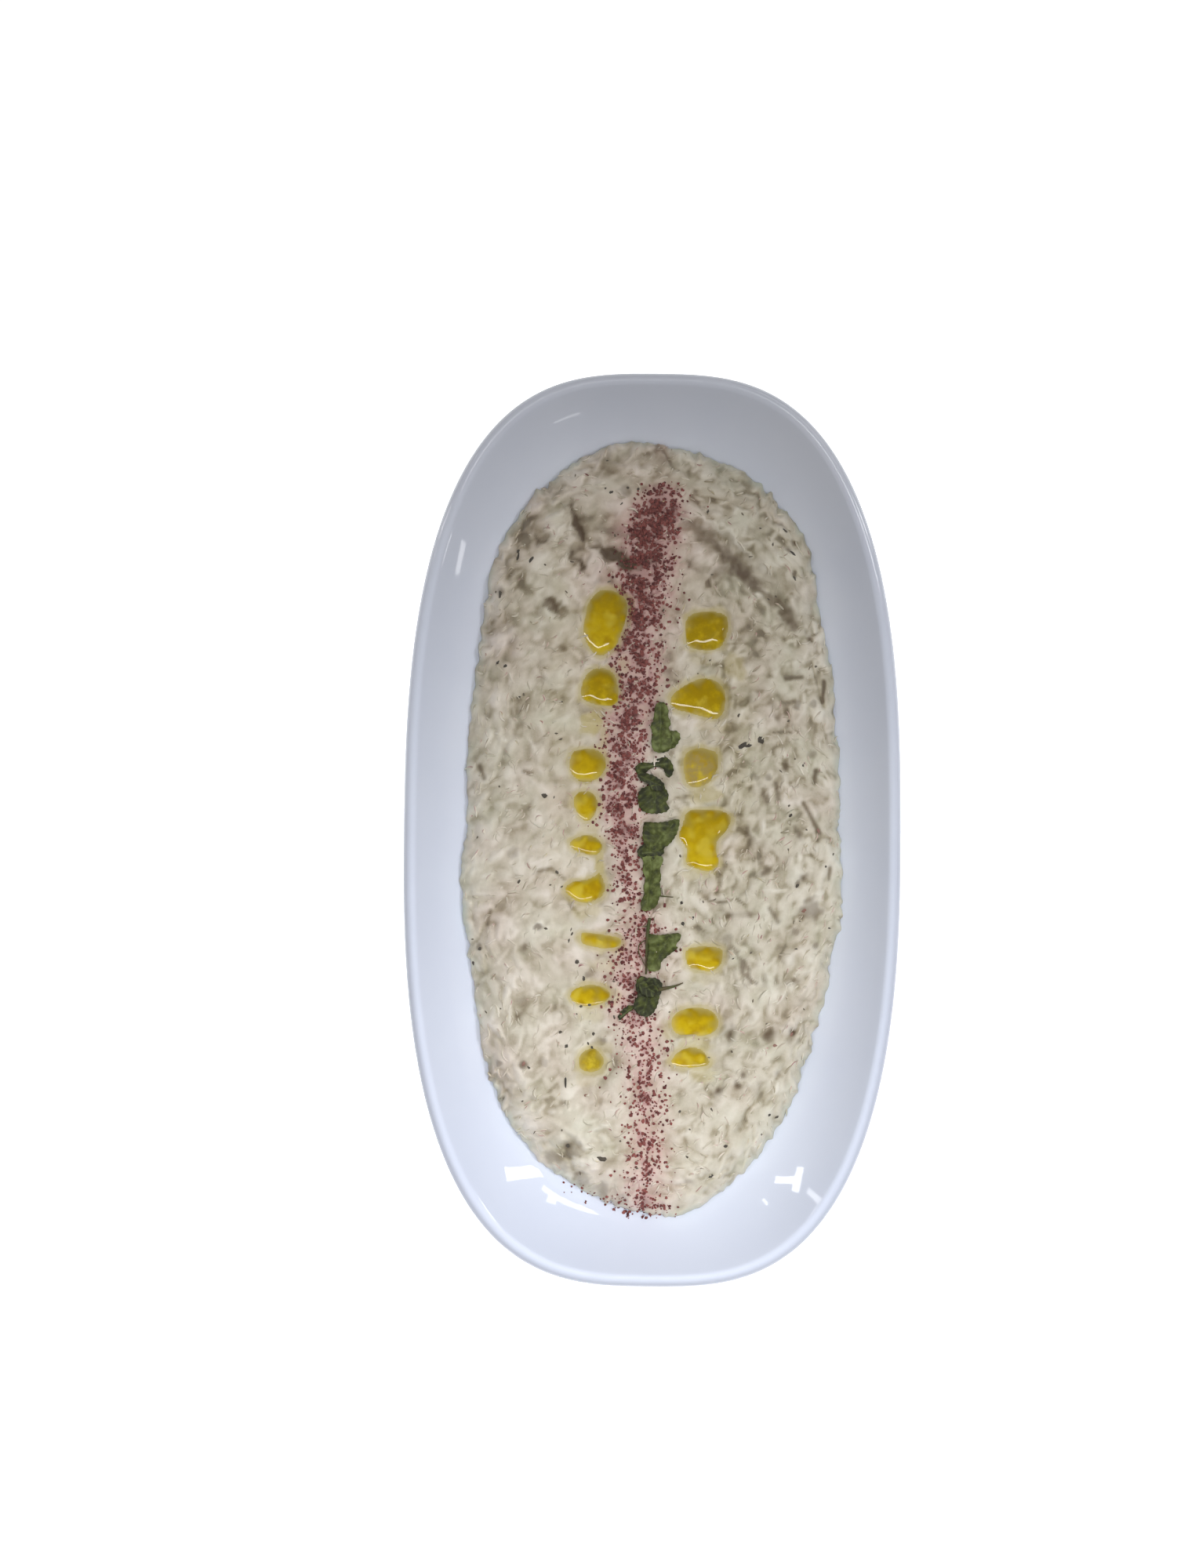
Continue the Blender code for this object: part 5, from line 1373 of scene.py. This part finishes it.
def makeFloor():
    bm = bmesh.new()
    bmesh.ops.create_circle(bm, cap_ends=True, segments=96, radius=4.0)
    mesh = bpy.data.meshes.new("floor")
    bm.to_mesh(mesh)
    bm.free()
    recipe = Recipe("pale_floor", Roughness=0.9, Base_Color=(0.9, 0.9, 0.9, 1.0), Emission_Color=(1.0, 1.0, 1.0, 1.0),
                    Emission_Strength=0.7)
    mesh.materials.append(recipe.material)
    floor = bpy.data.objects.new("floor", mesh)
    floor.location.z = -0.0002
    bpy.context.scene.collection.objects.link(floor)


def addPanel(name, place, aim, width, height, power, colour, turn=0.0):
    data = bpy.data.lights.new(name, "AREA")
    data.shape, data.size, data.size_y = "RECTANGLE", width, height
    data.energy, data.color = power, colour
    lamp = bpy.data.objects.new(name, data)
    up = Vector((0.0, 0.0, 1.0)) if place.z < 0.9 * place.length else Vector((0.0, 1.0, 0.0))
    lamp.matrix_world = lookMatrix(place, aim, up) @ Matrix.Rotation(math.radians(turn), 4, "Z")
    bpy.context.scene.collection.objects.link(lamp)
    return lamp


def makeLights():
    scene = bpy.context.scene
    for leanX, leanY, power, further in lightSetup["spots"]:
        aim = Vector(lightSetup["aim"]) + Vector((0.0, further, 0.0))
        data = bpy.data.lights.new("soft_spot", "SPOT")
        data.energy, data.shadow_soft_size, data.color = power, lightSetup["radius"], lightSetup["colour"]
        data.spot_size, data.spot_blend = math.radians(lightSetup["cone"]), 1.0
        lamp = bpy.data.objects.new("soft_spot", data)
        lean = Vector((math.tan(math.radians(leanX)), math.tan(math.radians(leanY)), 1.0)).normalized()
        lamp.matrix_world = lookMatrix(aim + lean * lightSetup["distance"], aim)
        lamp.visible_glossy = False
        scene.collection.objects.link(lamp)
    ceiling = lightSetup["ceiling"]
    lamp = addPanel("ceiling", Vector((0.0, 0.0, ceiling["height"])), Vector((0.0, 0.0, 0.0)),
                    ceiling["size"], ceiling["size"], ceiling["power"], ceiling["colour"])
    lamp.visible_glossy = False
    for direction, width, height, turn, radiance in lightSetup["panels"]:
        aim = Vector((0.0, -0.05, 0.01))
        place = aim + Vector(direction).normalized() * lightSetup["panelDistance"]
        lamp = addPanel("window", place, aim, width, height, radiance * math.pi * width * height,
                        (1.0, 1.0, 1.0), turn)
        lamp.visible_diffuse = False
    world = bpy.data.worlds.new("room")
    world.use_nodes = True
    backdrop = world.node_tree.nodes["Background"]
    backdrop.inputs["Color"].default_value = (*lightSetup["room"]["colour"], 1.0)
    backdrop.inputs["Strength"].default_value = lightSetup["room"]["strength"]
    scene.world = world
    scene.view_settings.view_transform = "Standard"


# Making it all

print("dish")
dish = makeDish(glazeMaterial())
print("dip")
dipFinish = dipMaterial()
dip = makeDip(dipFinish)
print("oil")
clearOil = oilMaterial()
murkyOil = {name: oilMaterial("olive_oil_" + name, *tone) for name, tone in oilLook["murky"].items()}
for poolName in oilPools:
    makePool(poolName, murkyOil.get(poolName, clearOil))
print("parsley")
greenLeaf = leafMaterial()
for number, leafName in enumerate(parsleyLobes):
    makeParsley(leafName, greenLeaf, 2.3 + 5.7 * number)
makeStems(stemMaterial())
print("sumac and flecks")
dipTree, dishTree = treeOf(dip), treeOf(dish)


def inPool(x, y):
    for loop, _ in pools.values():
        if abs(x - loop[:, 0].mean()) < 12.0 and abs(y - loop[:, 1].mean()) < 12.0:
            if loopDistance(np.array([x]), np.array([y]), loop)[0] < 0.3:
                return True
    return False


print("strands")
makeStrands(dip, [dipTree], [inPool])
makeSumac(grainMaterial("sumac", sumacLook["dark"], sumacLook["light"], sumacLook["roughness"]),
          [dipTree, dishTree], [inPool])
makeFlecks("char_flecks", charFlecks, grainMaterial("char", fleckLook["char"], fleckLook["charLight"],
                                                    fleckLook["roughness"]), [dipTree], 5, extra=110)
makeFlecks("red_flecks", redFlecks, grainMaterial("red_skin", fleckLook["red"], fleckLook["redLight"],
                                                  fleckLook["roughness"]), [dipTree], 8)
print("camera, floor and light")
makeCamera()
makeFloor()
makeLights()
